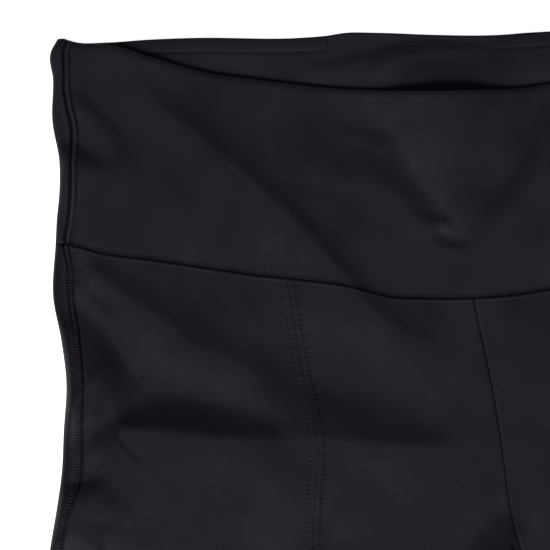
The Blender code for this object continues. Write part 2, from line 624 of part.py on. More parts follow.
def wall_object(name, wall, origin, material):
    """A closed wall as an object, from its outside and inside grids in working millimetres."""
    outside, inside = wall
    rows, columns = outside.shape[:2]
    points = np.concatenate((outside.reshape(-1, 3), inside.reshape(-1, 3))) - origin
    faces = wall_faces(rows, columns)
    if signed_volume(points, faces) < 0:
        faces = faces[:, ::-1]
    mesh = bpy.data.meshes.new(name)
    mesh.from_pydata((points * MM).tolist(), [], faces.tolist())
    mesh.validate()
    mesh.shade_smooth()
    mesh.set_sharp_from_angle(angle=math.radians(50))
    mesh.materials.append(material)
    made = bpy.data.objects.new(name, mesh)
    bpy.context.scene.collection.objects.link(made)
    return made


def garment_walls():
    """Every piece's wall by name."""
    walls = {}
    for leg in SIDES:
        walls["front_side_" + leg] = front_side_panel(leg)
        walls["front_centre_" + leg] = front_centre_panel(leg)
        walls["back_leg_" + leg] = back_panel(leg)

    front_tops = (
        walls["front_side_right"][0][0],
        walls["front_centre_right"][0][0, 1:],
        walls["front_centre_left"][0][0, ::-1],
        walls["front_side_left"][0][0, -2::-1],
    )
    walls["waistband_front"] = front_band(np.concatenate(front_tops)[:, 0])

    wraps = len(WRAP_ANGLES)
    back_tops = (walls["back_leg_right"][0][0, wraps:], walls["back_leg_left"][0][0, :wraps - 1:-1])
    walls["waistband_back"] = back_band(np.concatenate(back_tops)[:, 0])

    for leg in SIDES:
        walls["waist_elastic_" + leg] = elastic(leg)
    return walls


def base_middle(walls):
    """The middle of the base of everything: the part's origin in the working frame."""
    points = np.concatenate([side.reshape(-1, 3) for wall in walls.values() for side in wall])
    low, high = points.min(axis=0), points.max(axis=0)
    return np.array([(low[0] + high[0]) / 2, (low[1] + high[1]) / 2, low[2]])


def main():
    for old in list(bpy.data.objects):
        bpy.data.objects.remove(old, do_unlink=True)
    knit = cloth_material("stretch_knit", CLOTH_COLOUR, 0.7)
    band = cloth_material("waistband_knit", BAND_COLOUR, 0.7)
    tape = cloth_material("elastic_tape", ELASTIC_COLOUR, 0.6)
    walls = garment_walls()
    origin = base_middle(walls)
    print("origin in working millimetres:", np.round(origin, 3))
    for name, wall in walls.items():
        material = tape if "elastic" in name else band if "waistband" in name else knit
        wall_object(name, wall, origin, material)


main()
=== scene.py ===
# %% [markdown]
# Flared sports trousers, laid flat on their back.
#
# Trousers like these are cut from a near-black stretch knit and sewn on an overlocker and a
# coverstitch machine. Nothing in them is stiff, so almost all that the eye reads is how two layers
# of soft cloth lie on each other: the folded edge at the side, the ditch at each seam, and the
# folds that run from the hip and the waistband. This script dresses the plain solids of the frame
# with finer cloth of the same form, and adds the sewing, the knit and the light.

# %% The frame
import math
from collections import namedtuple

import bpy
import numpy as np
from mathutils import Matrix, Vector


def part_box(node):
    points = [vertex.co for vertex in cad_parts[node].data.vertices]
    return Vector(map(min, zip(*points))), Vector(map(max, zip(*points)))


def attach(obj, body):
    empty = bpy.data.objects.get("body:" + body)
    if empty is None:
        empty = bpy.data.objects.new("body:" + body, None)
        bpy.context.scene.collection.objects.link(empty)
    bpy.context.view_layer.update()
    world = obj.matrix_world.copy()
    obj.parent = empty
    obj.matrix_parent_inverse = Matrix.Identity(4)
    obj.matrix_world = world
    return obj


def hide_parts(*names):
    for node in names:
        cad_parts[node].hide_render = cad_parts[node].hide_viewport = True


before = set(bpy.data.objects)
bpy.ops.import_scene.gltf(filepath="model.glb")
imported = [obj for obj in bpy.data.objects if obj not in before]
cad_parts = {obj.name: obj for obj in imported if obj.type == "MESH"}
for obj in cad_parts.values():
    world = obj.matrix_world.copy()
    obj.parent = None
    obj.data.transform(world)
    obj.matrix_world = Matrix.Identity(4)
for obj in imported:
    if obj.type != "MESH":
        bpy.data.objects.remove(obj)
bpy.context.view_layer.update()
print("nodes in the frame:", sorted(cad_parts))

# %% [markdown]
# Every size below is in millimetres, measured on the cloth from one point: where the centre front
# seam meets the waistband. X runs to the wearer's left, Y up the garment and Z up from the table.
# "Across" is the distance out from the centre line, so x = side * across for either leg. Smooth
# curves through a few measured points give the edges and seams, as a pattern cutter draws them.

# %% Smooth curves through measured points
MM = 0.001
SIDES = {"right": -1, "left": 1}


def smooth_curve(rows):
    """A function through the rows' points. Between two points it is a cubic, and its slope at a
    point is that of the parabola through the point and its neighbours."""
    points = np.array(sorted(rows), float)
    at, value = points[:, 0], points[:, 1]
    slope = np.gradient(value, at)

    def curve(where):
        where = np.clip(np.asarray(where, float), at[0], at[-1])
        k = np.clip(np.searchsorted(at, where) - 1, 0, len(at) - 2)
        width = at[k + 1] - at[k]
        f = (where - at[k]) / width
        rise = f * f * (3 - 2 * f)
        start = f * (1 - f) ** 2 * width * slope[k]
        end = f * f * (f - 1) * width * slope[k + 1]
        return value[k] * (1 - rise) + value[k + 1] * rise + start + end

    return curve


def smoothstep(f):
    """0 below 0, 1 above 1, and 3f^2 - 2f^3 between."""
    f = np.clip(f, 0, 1)
    return f * f * (3 - 2 * f)


def rising(value, low, high):
    """0 at low, 1 at high, and a smooth step between. With low above high it falls instead."""
    return smoothstep((value - low) / (high - low))


def swell(distance, width):
    """A bell: 1 at no distance, falling as exp(-(distance / width)^2)."""
    return np.exp(-((distance / width) ** 2))


def stack(x, y, z):
    """Arrays of x, y and z as one array of points."""
    return np.stack(np.broadcast_arrays(x, y, z), axis=-1)


# %% [markdown]
# The outline. Soft cloth has no straight edge: the side fold wanders in and out by a few
# millimetres, and the side seam, which lies just inside it on the front, wanders on its own. Both
# are listed by level, from the waist down. The seams down the front of the legs and the centre
# front lean, because the garment twisted a little when it was laid down.

# %% Edges and seams by level: (level, across or x)
OUTER_EDGE = {
    "right": smooth_curve((
        (128, 183), (123, 186.3), (109, 186.3), (91, 187.6), (72, 185.4), (58, 186.1), (45, 188),
        (35, 189), (10, 191.4), (-9, 188.8), (-30, 187.5), (-50, 189.7), (-71, 191.9),
        (-85, 194.6), (-105, 199), (-135, 204), (-165, 208), (-230, 209.5), (-330, 209),
        (-430, 212), (-530, 218), (-630, 229), (-730, 246), (-830, 267), (-900, 284), (-970, 302),
    )),
    "left": smooth_curve((
        (128, 184), (110, 187), (88, 185.5), (66, 187.5), (45, 186.5), (35, 187.5), (12, 190),
        (-12, 189), (-40, 191), (-70, 195), (-105, 203), (-135, 210), (-165, 214.5), (-230, 218),
        (-330, 219), (-430, 221.5), (-530, 226), (-630, 236), (-730, 253), (-830, 273),
        (-900, 289), (-970, 308),
    )),
}
SEAM_INSET = {
    "right": smooth_curve((
        (128, 4.4), (123, 5.5), (118, 6.2), (114, 5.6), (109, 4.9), (104, 5.1), (100, 6), (95, 7.1),
        (90, 8.2), (86, 8.1), (80, 6.9), (73, 5.4), (64, 5), (45, 5), (35, 4.1), (30, 5), (26, 6.3),
        (22, 7.1), (15, 7.4), (0, 7.3), (-14, 6.5), (-32, 6.1), (-55, 6.9), (-74, 7), (-92, 3.4),
        (-105, 3.5), (-140, 5), (-300, 6), (-530, 5), (-760, 7), (-970, 6),
    )),
    "left": smooth_curve((
        (128, 4.5), (100, 5.5), (70, 4.6), (35, 5.6), (0, 4.6), (-60, 6), (-140, 4.8),
        (-300, 5.5), (-530, 4.6), (-760, 6.5), (-970, 5.5),
    )),
}
LEG_SEAM = {
    "right": smooth_curve((
        (40, 87.5), (5, 83.6), (-13, 81.2), (-31, 78.9), (-46, 75.9), (-59, 74.2), (-69, 74.5),
        (-86, 76.7), (-104, 78.3), (-125, 80.2), (-165, 85), (-230, 91), (-330, 99), (-430, 110), (-530, 122),
        (-630, 132), (-730, 142), (-830, 151), (-970, 163),
    )),
    "left": smooth_curve((
        (40, 79), (11, 80.5), (-30, 83), (-75, 86), (-111, 89), (-165, 97), (-230, 103),
        (-330, 112), (-430, 124), (-530, 137), (-630, 145), (-730, 154), (-830, 163), (-970, 176),
    )),
}
INNER_EDGE = {
    "right": smooth_curve((
        (-150, -4), (-165, -4), (-185, -2), (-230, 2.5), (-330, 10), (-430, 20), (-530, 30),
        (-630, 33), (-730, 32), (-830, 29), (-970, 21),
    )),
    "left": smooth_curve((
        (-150, 4), (-165, 4), (-185, 7), (-230, 12), (-330, 20), (-430, 29), (-530, 37),
        (-630, 39), (-730, 38), (-830, 33), (-970, 26),
    )),
}
CENTRE_FRONT = smooth_curve((
    (12, -1), (0, 0), (-10, 1.3), (-22, 3.4), (-38, 5.8), (-56, 8), (-75, 9.8), (-88, 10.7),
    (-102, 12.5), (-116, 15.4), (-132, 15.6), (-148, 11), (-165, 4), (-185, 4),
))
CENTRE_BACK = smooth_curve(((40, -20), (0, -18), (-60, -13), (-120, -4), (-165, 4), (-185, 4)))

# %% Lines across the garment: (x, level)
WAIST_SEAM = smooth_curve((
    (-200, 37.5), (-188.5, 35.4), (-180.4, 33.7), (-169.2, 30), (-146.5, 25.7), (-128.4, 22.1),
    (-101.2, 16.6), (-78.5, 12.9), (-55.8, 8.7), (-47, 5.9), (-38, 3.1), (-24.2, 1.7), (0, 0.5),
    (21.5, 1.2), (35.4, 2.7), (60, 6.5), (85, 11), (110, 15.5), (135, 21), (160, 27), (178, 32),
    (190, 35.4), (200, 38),
))
BACK_WAIST_SEAM = smooth_curve((
    (-200, 37.5), (-188.5, 35.1), (-180.4, 33.1), (-150, 26.5), (-100, 17), (-50, 11), (0, 9),
    (50, 11), (100, 17), (150, 26), (178, 32), (190, 35.4), (200, 38),
))
FRONT_TOP = smooth_curve((
    (-190, 127.5), (-180, 127.5), (-174, 125.5), (-162, 124.3), (-155, 122.5), (-141.6, 117.7),
    (-128, 113), (-114.6, 109), (-96.5, 105.5), (-83, 103), (-60, 99.3), (-28, 96), (-1, 94.6),
    (26.5, 94.6), (40, 95.8), (62, 98.4), (85, 101.8), (108, 106), (130, 111), (148, 116.5),
    (163, 122), (174, 125.4), (181, 127.4), (190, 127.4),
))
BACK_TOP = smooth_curve((
    (-190, 127.5), (-180, 127.6), (-174, 125.9), (-162, 125.3), (-141, 125.6), (-121, 125.3),
    (-73, 122.8), (-61, 123.1), (-52, 124), (-38, 123.3), (-13, 121.1), (9.5, 119.6), (19, 119.4),
    (30, 119.7), (42, 119.8), (70, 120.9), (110, 123.2), (150, 125.3), (174, 126), (181, 127.4),
    (190, 127.4),
))
CROTCH_LEVEL = -165.0
HEM_LEVEL = -955.0
WAIST_FADE_LEVEL = -115.0
HEM_FADE_LEVEL = -800.0
HEM_RISE_OUTER = 9.0
HEM_DROP_MIDDLE = 6.0
TAPE_ENDS = {"right": (-171.0, -60.0), "left": (16.0, 171.0)}
TAPE_BELOW_TOP = 0.6
TAPE_WIDTH = 5.4


def side_seam(leg, y):
    """How far across the side seam lies: in from the folded edge, on the front."""
    return OUTER_EDGE[leg](y) - SEAM_INSET[leg](y)


def band_end(leg, y):
    """x of the side seam on the waistband."""
    return SIDES[leg] * side_seam(leg, y)


# The frame's own place for that zero point, read from the end and the top of one elastic tape
tape_low, tape_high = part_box("waist_elastic_left")
ZERO = np.array((
    tape_low.x / MM - TAPE_ENDS["left"][0],
    tape_high.y / MM - (BACK_TOP(TAPE_ENDS["left"][1]) - TAPE_BELOW_TOP),
    0.0,
))
print("the waist's zero point is at", ZERO.round(2), "mm in the frame")

# %% [markdown]
# The camera looks straight down, as a product photographer's does over a table, from far enough
# that nothing bulges. The garment was laid three degrees off the camera's own upright, so the
# camera is turned by that much. Only the upper part shows, a square of about 250 mm.

# %% The camera
VIEW_WIDTH = 251.35
VIEW_CENTRE = (-89.8, 15.2)
VIEW_TURN = -3.0
VIEW_DISTANCE = 1600.0
SENSOR_WIDTH = 36.0

camera = bpy.data.objects.new("camera", bpy.data.cameras.new("camera"))
bpy.context.scene.collection.objects.link(camera)
camera.data.sensor_width = SENSOR_WIDTH
camera.data.lens = SENSOR_WIDTH * VIEW_DISTANCE / VIEW_WIDTH
camera.location = [
    (ZERO[0] + VIEW_CENTRE[0]) * MM,
    (ZERO[1] + VIEW_CENTRE[1]) * MM,
    VIEW_DISTANCE * MM,
]
camera.rotation_euler = (0, 0, math.radians(VIEW_TURN))
bpy.context.scene.camera = camera
print("lens", round(camera.data.lens), "mm")

# %% [markdown]
# Folds. On the real garment they are where spare cloth goes: the hip is rounder than the table, so
# the front cannot lie flat. A cloth simulation would put them anywhere, and these have known
# places, so each is laid along a line. A fold in thin cloth is not an even wave: the cloth
# climbs gently to a crest, drops steeply behind it and comes back slowly. The crest is what the
# light from the bottom of the picture catches, and the drop behind it is what stays dark.

# %% One fold: a crest line with the steep drop on its left
FOLD_SIZES = ("crest", "valley", "before", "wall", "after", "bias", "power", "round")
FOLD_COLUMNS = "crest valley before wall after line bias power round fade"
Fold = namedtuple("Fold", FOLD_COLUMNS, defaults=(0.0, 2.0, 1.2, (0.2, 0.2)))
LINE_STEP = 4.0
LEAST_POINTS = 3
END_REACH = 5.0
FOOT_POWER = 1.6
PULL_SOFTNESS = 0.5
PULL_POWER = 6


def fold_profile(s, crest, valley, before, wall, after, bias, power, round_radius):
    """Height by signed distance s behind the crest. Before it the cloth rises as a smooth step to
    the crest. Behind it, over the wall, it drops by crest + valley: with no bias as
    1 - (1 - t)^power, steepest at the crest, and with full bias as a smooth step of t^1.6, steepest
    near the foot. Then it comes back to no height at all."""
    behind = np.hypot(np.clip(s, 0, None), round_radius) - round_radius
    t = np.clip(behind / wall, 0, 1)
    drop = (1 - bias) * (1 - (1 - t) ** power) + bias * smoothstep(t**FOOT_POWER)
    over = crest - (crest + valley) * drop + valley * smoothstep((behind - wall) / after)
    return np.where(s < 0, crest * smoothstep(1 + s / before), over)


def even_line(points):
    """The fold's line as a smooth curve through its points, in even steps of about 4 mm."""
    points = np.array(points, float)
    length = np.concatenate(([0], np.cumsum(np.linalg.norm(np.diff(points, axis=0), axis=1))))
    where = np.linspace(0, length[-1], max(LEAST_POINTS, int(length[-1] / LINE_STEP) + 1))
    return np.stack([smooth_curve(zip(length, part))(where) for part in points.T], axis=1)


def along_line(value, share):
    """A size that is one number, or several that it passes through in even steps of the line."""
    values = np.atleast_1d(value)
    return np.interp(share, np.linspace(0, 1, values.size), values)


# %% Many folds together
def place_by_line(px, py, line):
    """Each point's signed distance behind a line, how far it lies past the line's ends, and its
    place along the line as a share. The distance is that to the nearest step of the line, or off
    its ends, to the line carried on straight. The share is a mean over the steps, each with a pull
    of 1 / (distance + 0.5)^6, so that it changes smoothly inside a bend."""
    nearest = np.full(px.shape, np.inf)
    behind, past, share, weight = (np.zeros(px.shape) for _ in range(4))
    last = len(line) - 2
    for k, ((ax, ay), (bx, by)) in enumerate(zip(line[:-1], line[1:])):
        length = math.hypot(bx - ax, by - ay)
        dx, dy = (bx - ax) / length, (by - ay) / length
        along = (px - ax) * dx + (py - ay) * dy
        aside = (py - ay) * dx - (px - ax) * dy
        on_line = np.clip(along, 0, length)
        distance = np.hypot(aside, along - on_line)
        off_start, off_end = np.clip(-along, 0, None), np.clip(along - length, 0, None)
        off = (k == 0) * off_start + (k == last) * off_end
        closer = distance < nearest
        nearest = np.where(closer, distance, nearest)
        behind = np.where(closer, np.where(off > 0, aside, np.copysign(distance, aside)), behind)
        past = np.where(closer, off, past)
        pull = 1 / (distance + PULL_SOFTNESS) ** PULL_POWER
        share += pull * (k + on_line / length) / (last + 1)
        weight += pull
    return behind, past, share / weight


def fold_height(x, y, folds):
    """The sum of the folds' heights at each point. A fold fades in and out along its line, and off
    the line's ends it dies as a bell. Points out of its reach are left out."""
    x, y = np.broadcast_arrays(x, y)
    total = np.zeros(x.shape)
    for fold in folds:
        line = even_line(fold.line)
        reach = max(np.max(fold.before), np.max(fold.wall) + np.max(fold.after)) + np.max(fold.round)
        (low_x, low_y), (high_x, high_y) = line.min(axis=0) - reach, line.max(axis=0) + reach
        near = (x > low_x) & (x < high_x) & (y > low_y) & (y < high_y)
        behind, past, share = place_by_line(x[near], y[near], line)
        sizes = [along_line(getattr(fold, size), share) for size in FOLD_SIZES]
        ends = smoothstep(share / fold.fade[0]) * smoothstep((1 - share) / fold.fade[1])
        total[near] += ends * swell(past, END_REACH) * fold_profile(behind, *sizes)
    return total


# %% [markdown]
# The folds themselves, in groups. Those of the wearer's right side and the middle follow the
# photograph. The others are of the same kinds and sizes, where such a garment has them: from the
# waistband's side, across the hip, behind the knee's place and down the flare. Between the folds
# the cloth swells and sinks by a millimetre or so, which a short list of broad bells gives.

# %% Folds of the waistband: crest, valley, before, wall, after, line
# A size is one number, or several that it passes through from the line's start to its end. Bias,
# power, round and fade are given where they differ from the usual ones.
BAND_FOLDS = (
    Fold((1.2, 0.6, 1.6, 1.0), (1.9, 2.2, 1.0, 0.4), (10, 20, 40, 26), (32, 20, 16, 18), (50, 60, 60, 24),
         ((-155, 112), (-142, 98), (-120, 78.5), (-98, 58), (-77.5, 37), (-60, 15), (-44, -5), (-34, -14),
          (-10, -25)), bias=0.15, power=(4, 4, 5, 5), round=(4, 3, 3, 4), fade=(0.16, 0.22)),
    Fold(0.5, 0.5, 8, 5, 16, ((-183, 98), (-173, 95), (-167, 88), (-161, 80), (-158.5, 70), (-157, 59)),
         bias=0.3, power=1.5, round=2, fade=(0.2, 0.45)),
    Fold(0, 0.3, 18, 14, 34, ((-160, 72), (-143, 61), (-134, 46), (-122, 34), (-95, 24)),
         power=3, round=3, fade=(0.3, 0.3)),
    Fold((0.5, 0.6, 0.9), (1.3, 0.8, 0.4), (7, 18, 7), (32, 8.5, 3.4), (28, 13, 16),
         ((-66, 60), (-45, 55.5), (-36, 51), (-29, 45.5), (-25, 39), (-20, 35.5), (-14, 34), (-8, 35)),
         bias=0.15, power=1.7, round=(3, 2, 0.8), fade=(0.3, 0.06)),
    Fold((0.8, 2.2, 3), (0.2, 0.5, 0.2), 16, (7, 9, 8), 7,
         ((0, 30), (7.5, 31), (14.5, 34), (20, 40), (26.5, 47), (33, 55.5), (38, 67), (40, 79), (46, 92)),
         bias=0.35, power=1.6, round=2.2, fade=(0.3, 0.3)),
    Fold(0.2, 0.8, 8, 4.2, 6, ((-20, 29), (-14, 24.5), (-8, 22.5), (-3, 22.5), (1, 25)),
         power=1.7, round=0.8, fade=(0.25, 0.25)),
    Fold(0.25, 0.3, 7, 4, 9, ((-58, 78.5), (-50, 77), (-42, 74.5), (-33, 70)), bias=0.15, round=1.6),
    Fold(0.05, 0.25, 3, 3, 4, ((-34, 84), (-32, 89), (-32, 95))),
    Fold(0.35, 0.15, 11, 5, 11, ((-28, 84), (-25, 72), (-21, 60), (-18.5, 49)), round=1.4),
    Fold(0, 0.2, 7, 4, 8, ((-80, 50), (-68, 48.5), (-56.5, 44)), bias=0.3),
    Fold(0.7, 3.1, (18, 16), (28, 18), (46, 28), ((150, 106), (116, 72), (80, 30), (66, 12), (38, -14)),
         power=3.4, fade=(0.25, 0.25)),
    Fold((2.0, 2.2, 1.6), 0.5, 24, (15, 14, 10), 25, ((-195, 68), (-186, 67), (-178, 65), (-170, 60)),
         bias=1, round=0.8, fade=(0.1, 0.3)),
    Fold(0.3, 1.4, 12, 8, 16, ((178, 96), (166, 84), (158, 70), (152, 54))),
    Fold(0.4, 1.2, 14, 12, 22, ((66, 92), (82, 80), (104, 72))),
)

# %% Folds of the hip, from each side seam inwards
HIP_FOLDS = (
    Fold(0.8, (1.1, 1.2, 0.5, 0.3), (13, 25, 12), (5, 13, 10), (28, 60, 30),
         ((-181, 26.5), (-171, 19.5), (-156, 7), (-141, -4.5), (-128, -15), (-110, -24), (-94, -36),
          (-87, -45)),
         round=4, fade=(0.12, 0.2)),
    Fold(0.25, 0.1, 7, 3.5, 5, ((-180.5, 18.5), (-178, 13), (-174, 7.5), (-163, -2)), round=1.6),
    Fold((3.2, 6.0, 2.2), (0.8, 1.2, 2.0), 24, (32, 28, 16), (36, 14),
         ((-200, -22), (-193, -28), (-186, -36), (-179, -43), (-173, -48), (-167.5, -50.5)),
         bias=(1, 1, 0.4), power=3, round=4, fade=(0.15, 0.3)),
    Fold((1.5, 4.6, 4.2, 3.0, 2.0), (0.8, 1.4, 1.1, 0.6, 0.2), (45, 90, 90, 70, 25), (7, 16, 13, 11, 10),
         (20, 28, 24, 28),
         ((-169, -46.5), (-164, -50.5), (-157, -52), (-135, -55), (-113, -58.7), (-80, -61)),
         power=(2.4, 1.5, 1.5, 2.4), round=3, fade=(0.08, 0.2)),
    Fold((2.7, 0.4), (1.6, 2.2, 2.0), 55, (21, 20, 8), (48, 16),
         ((-98, -57), (-84, -58.5), (-72, -61), (-45, -64.7), (-18, -67.4), (-4, -68.3)),
         bias=(0.4, 0, 0), power=(1.4, 2, 2.6), round=3.6, fade=(0.25, 0.3)),
    Fold(0.1, 0.35, 2.5, 1.8, 2.5, ((-168.5, -47), (-167.4, -53), (-165, -57.5), (-158, -65), (-151, -71)),
         round=0.5, fade=(0.1, 0.35)),
    Fold((2.2, 2.6, 0.6), 0.5, 22, (13, 8, 5), 14,
         ((-202, -88), (-195, -87), (-188, -84.5), (-181, -82), (-174, -79), (-166, -75)),
         bias=0.6, round=1, fade=(0.1, 0.3)),
    Fold(1.2, 0.3, 17, 9, 9, ((-192, -95), (-187, -99), (-181, -103), (-173, -105)), bias=0.3, round=2),
    Fold((2.4, 5.2, 5.2), (0.6, 0.5, 0.3), 30, (9, 16, 27), 14,
         ((-7, -134), (-1, -128), (6, -123), (14, -120)), bias=0.2, power=1.8, round=2, fade=(0.3, 0.12)),
    Fold(0, 0.7, 17, 13.5, 27, ((16, -17.5), (28, -13.5), (42, -13.5), (60, -16), (84, -26)), bias=0.5),
    Fold(0.4, 2.6, (22, 14), (16, 12), (36, 33), ((88, -46), (124, -20), (158, 8), (176, 24)),
         fade=(0.2, 0.12)),
    Fold((3.4, 3.8, 0.8), (1.6, 2.4, 2.6), (60, 70, 20), (15, 16), (28, 30, 20),
         ((84, -60), (104, -58), (126, -54), (146, -51), (163, -50), (170, -44), (176, -34),
          (183, -22), (190, -8)),
         bias=(0.2, 0.3, 0.8), fade=(0.2, 0.15)),
    Fold(0.6, 2.0, 9, 8, 9, ((172, -84), (184, -88), (200, -88)), bias=0.7),
    Fold(1.0, 0.6, 30, 14, 24, ((35, -79), (50, -92), (60, -112), (64, -136))),
)

# %% Folds of the legs, right and then left
LEG_FOLDS = (
    Fold(1.0, 1.0, 22, 16, 20, ((-196, -128), (-160, -140), (-124, -146), (-92, -142))),
    Fold(0.9, 1.2, 24, 16, 22, ((-12, -206), (-46, -218), (-84, -236), (-122, -262))),
    Fold(1.2, 0.8, 24, 18, 24, ((-204, -226), (-170, -250), (-134, -272), (-104, -298))),
    Fold(1.1, 0.6, 24, 16, 20, ((-26, -306), (-64, -330), (-104, -360))),
    Fold(0.8, 1.0, 26, 18, 24, ((-204, -396), (-168, -416), (-130, -430), (-96, -430))),
    Fold(1.5, 0.8, 24, 16, 22, ((-204, -512), (-160, -530), (-118, -538), (-70, -526), (-44, -508))),
    Fold(0.7, 1.2, 22, 16, 20, ((-206, -572), (-166, -586), (-124, -590), (-84, -578))),
    Fold(1.6, 0.2, 30, 24, 20, ((-84, -610), (-92, -690), (-104, -780), (-116, -880), (-122, -975)),
         bias=0.4, round=6, fade=(0.3, 0.05)),
    Fold(1.3, 0.4, 28, 24, 20, ((-206, -700), (-228, -790), (-250, -880), (-266, -975)),
         bias=0.4, round=6, fade=(0.3, 0.05)),
    Fold(0.9, 1.2, 22, 16, 20, ((38, -212), (76, -226), (118, -246), (150, -272))),
    Fold(1.2, 0.8, 24, 18, 22, ((106, -312), (134, -288), (172, -262), (206, -238))),
    Fold(1.1, 0.6, 22, 16, 20, ((58, -340), (96, -362), (134, -394))),
    Fold(1.5, 0.8, 26, 16, 22, ((60, -522), (92, -540), (136, -550), (180, -540), (214, -522))),
    Fold(0.7, 1.2, 22, 16, 20, ((84, -588), (126, -602), (170, -598), (212, -582))),
    Fold(1.6, 0.2, 30, 24, 20, ((134, -975), (128, -880), (118, -790), (106, -700), (96, -620)),
         bias=0.4, round=6, fade=(0.05, 0.3)),
    Fold(1.3, 0.4, 28, 24, 20, ((276, -975), (262, -890), (242, -800), (220, -710)),
         bias=0.4, round=6, fade=(0.05, 0.3)),
)
FRONT_FOLDS = BAND_FOLDS + HIP_FOLDS + LEG_FOLDS

# %% Broad rises and hollows: x, y, height, length, width and turn in degrees
HILLS = (
    (-160, 75, 1.2, 20, 25, 0),
    (-90, 88, 1.0, 25, 20, -35),
    (-180, 90, -1.2, 45, 20, -40),
    (-65, 58, 0.8, 25, 12, -45),
    (-20, 95, -1.2, 40, 18, 110),
    (-5, 80, 0.5, 15, 25, 110),
    (5, 10, 1.4, 20, 15, 55),
    (-95, 25, -0.6, 22, 10, -30),
    (-130, 15, -0.5, 18, 10, -40),
    (-95, -50, 1.4, 50, 35, -25),
    (-170, -110, 1.4, 50, 50, 25),
    (-100, -115, -0.5, 45, 10, -40),
    (-45, -125, -1.4, 25, 45, 0),
    (-40, -45, 1.2, 35, 25, 15),
    (-5, -75, 0.6, 12, 14, 35),
    (45, -45, 1.4, 20, 35, 10),
    (26, -84, 1.0, 10, 18, 10),
)
print(len(FRONT_FOLDS), "folds on the front")

# %% [markdown]
# No hand-laid cloth is smooth between its folds. A little unevenness, four crossing waves of less
# than a tenth of a millimetre, breaks the light as the real surface does, and small puckers follow
# the seams, where the thread draws the knit in.

# %% Thickness of the laid garment, and unevenness
SIDE_FOLD_RADIUS = smooth_curve(((128, 3.5), (35, 3.2), (-100, 2.9), (-970, 2.7)))
INNER_FOLD_RADIUS = 2.6
FRONT_LAYER_HEIGHT = smooth_curve((
    (128, 4.5), (97, 4.7), (60, 7.0), (30, 8.1), (0, 7.8), (-60, 7.0), (-115, 6.3), (-165, 5.6),
    (-300, 4.9), (-530, 4.6), (-800, 4.6), (-970, 4.2),
))
WAVES = ((0.08, 61, 33, 0.4), (0.06, 37, -72, 2.1), (0.035, -21, 29, 4.0), (0.015, 13, 17, 1.1))
PUCKER_HEIGHT = 0.06
PUCKER_PITCH = 5.2
PUCKER_REACH = 6.0
PUCKER_DRIFT = (1.7, 11.0)


def unevenness(x, y):
    """A sum of sine waves, each with its height, its wavelengths along x and y, and its start."""
    return sum(h * np.sin(2 * np.pi * (x / wx + y / wy) + start) for h, wx, wy, start in WAVES)


def puckers(along, distance):
    """Small waves along a seam that die away from it. A second wave makes them uneven."""
    drift, drift_length = PUCKER_DRIFT
    wave = np.sin(2 * np.pi * along / PUCKER_PITCH + drift * np.sin(along / drift_length))
    return PUCKER_HEIGHT * wave * swell(distance, PUCKER_REACH)


def hill_height(x, y):
    """The broad rises and hollows, each a bell along its own length and width, turned."""
    total = 0
    for at_x, at_y, height, long, short, turn in HILLS:
        dx, dy = math.cos(math.radians(turn)), math.sin(math.radians(turn))
        along, aside = (x - at_x) * dx + (y - at_y) * dy, (y - at_y) * dx - (x - at_x) * dy
        total = total + height * swell(along, long) * swell(aside, short)
    return total


# %% Height of the front layer without its seams
MOUTH_TIP = (-6.0, 34.0)
MOUTH_TIP_HALF = 4.0
MOUTH_DEPTH = 62.0
MOUTH_RUN_ON = 1.2
MOUTH_LIFT = 6.3
MOUTH_LEAN = -0.08
MOUTH_SPREAD = 0.56
LOWEST = {"leg": 2.6, "band": 3.5}
THICKENING = (-4.0, 5.0)
PRESS_SOFTNESS = 0.5
SIDE_SETTLE = 15.0


def lowest_front(x, y):
    """The least height of the front's outside: two layers of leg cloth, or of the thicker band."""
    in_band = rising(y - WAIST_SEAM(x), *THICKENING)
    return LOWEST["leg"] * (1 - in_band) + LOWEST["band"] * in_band


def mouth_height(x, y):
    """The lifted tongue of cloth in the middle of the band, widening upwards from a point: it
    rises evenly with the share of the way up, and across it as (1 - q^2)^2."""
    up = np.clip((y - MOUTH_TIP[1]) / MOUTH_DEPTH, 0, MOUTH_RUN_ON)
    half = MOUTH_TIP_HALF + MOUTH_SPREAD * MOUTH_DEPTH * up
    q = (x - MOUTH_TIP[0] - MOUTH_LEAN * MOUTH_DEPTH * up) / half
    return MOUTH_LIFT * up * (1 - np.clip(q, -1, 1) ** 2) ** 2


def front_height(x, y):
    """Height of the outside of the front layer. Near a side seam the free height gives way to that
    of the side fold, while the folds run on over the seam. Where a trough would press the layer
    into the back, a soft floor holds it just clear: log(1 + e^h) in its own small unit."""
    free = FRONT_LAYER_HEIGHT(y) + mouth_height(x, y)
    for leg, side in SIDES.items():
        near = rising(side_seam(leg, y) - side * x, SIDE_SETTLE, 0)
        free = free * (1 - near) + 2 * SIDE_FOLD_RADIUS(y) * near
    free = free + fold_height(x, y, FRONT_FOLDS) + hill_height(x, y) + unevenness(x, y)
    lowest = lowest_front(x, y)
    return lowest + PRESS_SOFTNESS * np.logaddexp(0, (free - lowest) / PRESS_SOFTNESS)


# %% [markdown]
# A seam is where two edges roll down into a ditch. What each seam looks like depends on how it is
# sewn. The front leg seam is pressed open and held flat by two rows of coverstitch, so it stands up
# as a low band. The side seam is a rolled ridge. The waistband is sewn on with its allowance
# turned down, so the leg's cloth rises just under the ditch. The centre front is a plain seam.
# Each profile takes the distance from the seam and gives the change in height.

# %% Seam profiles: change in height by distance from the seam
NEEDLE_ROW = {"side": 3.2, "centre": 2.75}
COVER_BAND_HEIGHT = 0.25
COVER_BAND_EDGE = (1.0, -0.5)
WAIST_SIDE_LEVELS = (-8.0, 2.0)

